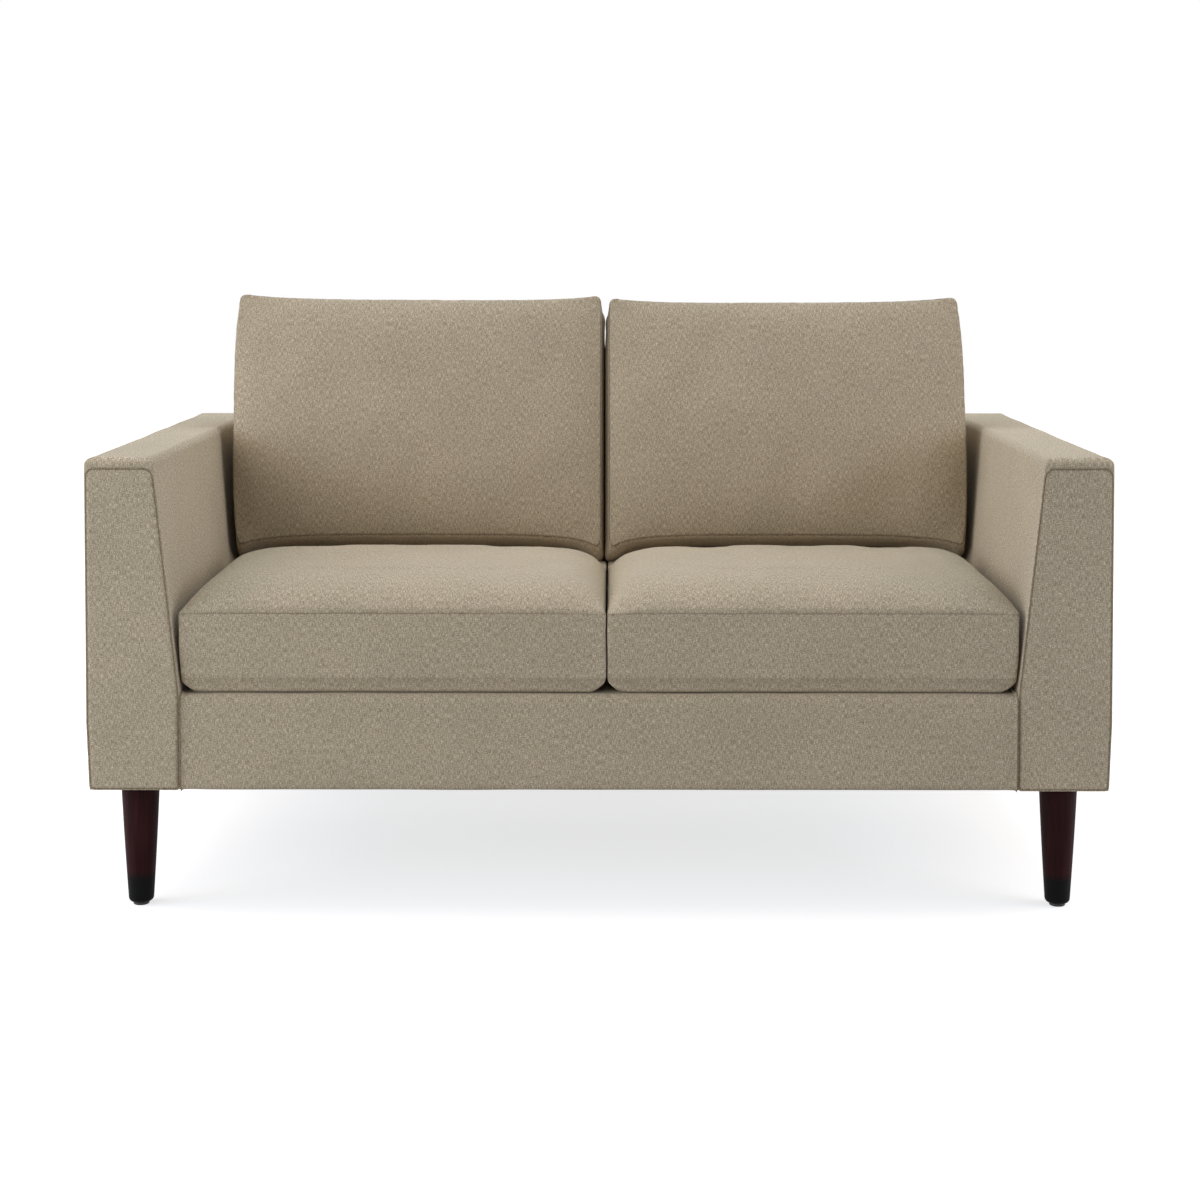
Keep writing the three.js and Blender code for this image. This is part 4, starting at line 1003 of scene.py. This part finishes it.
def cushion_patches(size, seed):
    """Crown, belly and band patches of one cushion in its own frame, in millimetres."""
    width, depth, band, groove, seam_shade_width = [
        size[key] for key in ("width", "depth", "band", "groove", "seam_shade_width")]
    fine = [spaced(length, 6.5) / length for length in (width, depth)]
    up = np.unique(np.concatenate([spaced(band, 7) / band, 0.5 + np.array(
        [-1, -0.88, -0.5, 0, 0.5, 0.88, 1]) * (zip_width / 2 + 1.5) / band]))
    target = cushion_grids(size, *fine, up, 1.0)
    shape = cushion_form(size, target, fine, up)

    u, v = np.meshgrid(fine[0] * width, fine[1] * depth, indexing="ij")
    side_away, end_away = np.minimum(u, width - u), np.minimum(v, depth - v)
    away, corner = np.minimum(side_away, end_away), np.hypot(side_away, end_away)
    dents = ripple(u, v * 0.6, 120, seed) * size["dents"] * smooth(away / 70)
    wrinkle = ripple(u, v * 0.7, 30, seed + 1) * 0.3 * smooth(away / 30)
    pucker = puckers(0.5, np.where(side_away < end_away, v, u), 15, seed + 2, away, 9)
    fold = 1.5 * np.cos(9 * np.arctan2(side_away, end_away) + seed) * np.exp(-corner / 42) * smooth(corner / 9)
    push = groove * groove_at(away, 2.0) - 0.45 * groove_at(away - 4, 2.2)
    crown_push = push + np.maximum(dents + wrinkle, -0.6) + 0.6 + pucker + fold - 0.6 * groove_at(away, 6)
    belly_push = 0.5 * push + 0.15 * (pucker + 0.5)
    patches = []
    for goal, grid, push, pulled, apart, line in (
            (target[0], shape[0], crown_push, seam_pull(size, shape[0], 1.0, 0.0), 0, size["line"]),
            (target[1], shape[1], belly_push, 0, belly_flat, size["line"] * belly_seam_shade)):
        final = grid - outward(grid, grid - (0, 0, band / 2)) * push[..., None]
        final[..., :2] -= pulled
        final[..., 1] -= droop(size, goal)
        flat = np.stack([laid_flat(goal, 0), laid_flat(goal, 1) + apart], axis=-1)
        # The last grid is painted shade, which darkens the cloth's colour along the seams.
        patches.append((goal, final, flat, groove_at(away, seam_shade_width) * line))

    goal, grid = target[2], shape[2]
    u, v = np.meshgrid(loop_shares(size, fine) * 2 * (width + depth), up * band)
    away = np.minimum(v, band - v)
    upper = np.where(v > band / 2, upper_share, lower_share)
    pucker = puckers(0.35, u, 15, seed + 3, away, 9)
    push = (groove * groove_at(away, 2.0) - 0.3 * groove_at(away - 4, 2.2) + pucker) * upper
    inner = smooth((-goal[..., 0] * size["sign"] / (width / 2) - inner_start) / inner_fade)
    push = push + slack(0.5, u, v, 70, seed + 4, away, 0, 25) * (1 - 0.8 * inner)
    in_slot = ((np.abs(goal[..., 0]) < zip_length / 2 + 1) & (goal[..., 1] * size["zip_way"] > 0)
               & (abs(v - band / 2) < zip_width / 2 + 0.4))
    push = np.where(in_slot, zip_recess, push * (1 - 0.6 * inner))
    final = grid - outward(grid, grid * (1, 1, 0)) * push[..., None]
    from_rear = depth / 2 - goal[..., 1]
    corner = groove_at(from_rear, 31) * smooth(v / 30) * size["pinch"] * inner
    final[..., :2] -= seam_pull(size, goal, groove_at(band - v, 15), corner)
    final[..., 0] += size["wave"] * np.sin(math.tau * v / band) * inner * smooth((from_rear - 45) / 60)
    final[..., 1] -= droop(size, goal)
    # Painted shade along the band's seams, weaker along the lower seam.
    line = groove_at(away, seam_shade_width) * size["line"] * (0.5 + 0.5 * upper)
    return [*patches, (goal, final, np.stack([u, v + band_flat], axis=-1), line)]


def placed(patches, turn, origin):
    """Patches moved from a frame of their own into the settee."""
    return [(base @ turn.T + origin, final @ turn.T + origin, flat, seam) for base, final, flat, seam in patches]


def box_along(name, turn):
    """The low and the high corner of a CAD node in millimetres, measured along the axes of a turned frame."""
    corners = np.array([vertex.co for vertex in nodes[name].data.vertices]) * 1000 @ turn
    return corners.min(0), corners.max(0)


cushions = []
for sign, side in ((-1, "left"), (1, "right")):
    for kind, values in (("seat", seat), ("back", back)):
        inner = values["split"] + sign * (0.2 + values["bulge"]["inner"])
        outer = sign * (arm_inner_x(values["side_height"]) - 0.5 - values["side_room"])
        size = dict(values, sign=sign, width=abs(outer - inner), spread=values["top_spread"][side])
        low, _ = box_along(f"{kind}_cushion_cover_{side}", size["turn"])
        origin = size["turn"] @ np.array([(inner + outer) / 2, low[1] + size["depth"] / 2 + size["bulge"]["front"],
                                          low[2] + size["belly"]])
        patches = cushion_patches(size, 100 + 10 * len(cushions))
        at_left, at_right = size["top_sag"][side]
        for _, final, _, _ in patches:
            across = final[..., 0] / size["width"] + 0.5
            sag = at_left * (1 - across) + at_right * across
            final[..., 1] -= sag * smooth(final[..., 1] / size["depth"] + 0.5) ** 2
        make_piece(f"{kind}_cushion_filled_{side}", placed(patches, size["turn"], origin),
                   f"{kind}_cushion_{side}", upholstery,
                   (f"{kind}_cushion_cover_{side}", f"{kind}_cushion_core_{side}"))
        cushions.append((kind, side, size))

# Zips
# Each cover closes with a nylon coil zip in a slot of its band: two tapes, a coil on each, made here as one
# pair of loops repeated, and a slider with a pull that lies flat.

tape_section = [(-13, 0.4), (-12.6, 1.0), (-9, 1.15), (-4, 1.1), (-3.2, 1.3), (-0.5, 1.0), (0.5, 1.0), (3.2, 1.3),
                (4, 1.1), (9, 1.15), (12.6, 1.0), (13, 0.4), (12.6, 0.05), (0, 0), (-12.6, 0.05), (-13, 0.4)]
coil_wire, coil_spacing, coil_reach, coil_bed, coil_offset, coil_turn = 0.32, 1.9, 2.8, 1.75, 0.45, 0.03
coil_bend = [(-0.35, -coil_reach), (-0.35, 0), (-0.22, 0.5), (0, 0.7), (0.22, 0.5), (0.35, 0), (0.35, -coil_reach)]
slider_plan = [(0.9, 0.72), (1.6, 0.94), (2.4, 1.0), (3.4, 0.97), (4.1, 0.8)]
pull_plan = [(4.2, 0.9), (4.5, 1.0), (5.0, 1.0), (5.2, 0.85)]
zip_nylon = speckled_material("zip_nylon", (0.19, 0.155, 0.11), (0.27, 0.225, 0.165), 400, 0.45, 0.0001)


def plate_patch(middle, length, front, rear, levels):
    """A plate with rounded corners that is wider in front, as rings (height, share of its plan)."""
    angles = np.linspace(0, math.tau, 33)
    x = np.sign(np.cos(angles)) * abs(np.cos(angles)) ** 0.6 * length / 2
    y = np.sign(np.sin(angles)) * abs(np.sin(angles)) ** 0.6 * (front + (rear - front) * (x / length + 0.5)) / 2
    rings = [(levels[0][0], 0.0), *levels, (levels[-1][0], 0.0)]
    grid = np.array([np.stack([middle + x * share, y * share, np.full(x.shape, height)], axis=1)
                     for height, share in rings])
    grid[:, -1] = grid[:, 0]
    return plain_patch(grid)


def tape_patch(half):
    """The two tapes of a zip, closed at both ends, a little wavy along their edges."""
    x = np.concatenate([[-half], np.linspace(-half, half, 61), [half]])
    grid = np.stack(np.broadcast_arrays(x[:, None], *np.array(tape_section).T), axis=-1)
    grid[0, :, 1:] = grid[-1, :, 1:] = (0, 0.6)
    grid[1:-1, :, 2] += 0.12 * np.sin(grid[1:-1, :, 0] / 19) * abs(grid[1:-1, :, 1]) / 13
    return plain_patch(grid)


for number, (kind, side, size) in enumerate(cushions):
    body, turn, way = f"{kind}_cushion_{side}", size["turn"], size["zip_way"]
    low, high = box_along(f"{kind}_cushion_zip_{side}", turn)
    spot = turn @ np.array([(low[0] + high[0]) / 2, low[1] if way > 0 else high[1], (low[2] + high[2]) / 2])
    face = turn @ np.stack([(1, 0, 0), (0, 0, -way), (0, way, 0)], axis=1)
    half = (high[0] - low[0]) / 2
    patches = [tape_patch(half - 0.5), plate_patch(half - 24, 14, 8.6, 6.4, slider_plan),
               plate_patch(half - 34, 20, 5.4, 4.4, pull_plan)]
    make_piece(f"{kind}_zip_tape_{side}", placed(patches, face, spot), body, zip_nylon,
               (f"{kind}_cushion_zip_{side}",))
    loop = welded_object("coil_loops", [
        wire_patch([(coil_offset * across + x, y * across, 0) for x, y in coil_bend], (0, 0, 1), coil_wire)
        for across in (-1, 1)])
    coil = repeated(f"{kind}_zip_coil_{side}", [(coil_spacing - half, 0, coil_bed), (half - 2, 0, coil_bed)], False,
                    loop, coil_spacing, coil_turn, number, zip_nylon)
    points = np.array([vertex.co for vertex in coil.data.vertices]) * 1000 @ face.T + spot
    coil.data.vertices.foreach_set("co", (points / 1000).reshape(-1))
    coil.data.update()
    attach(coil, body)
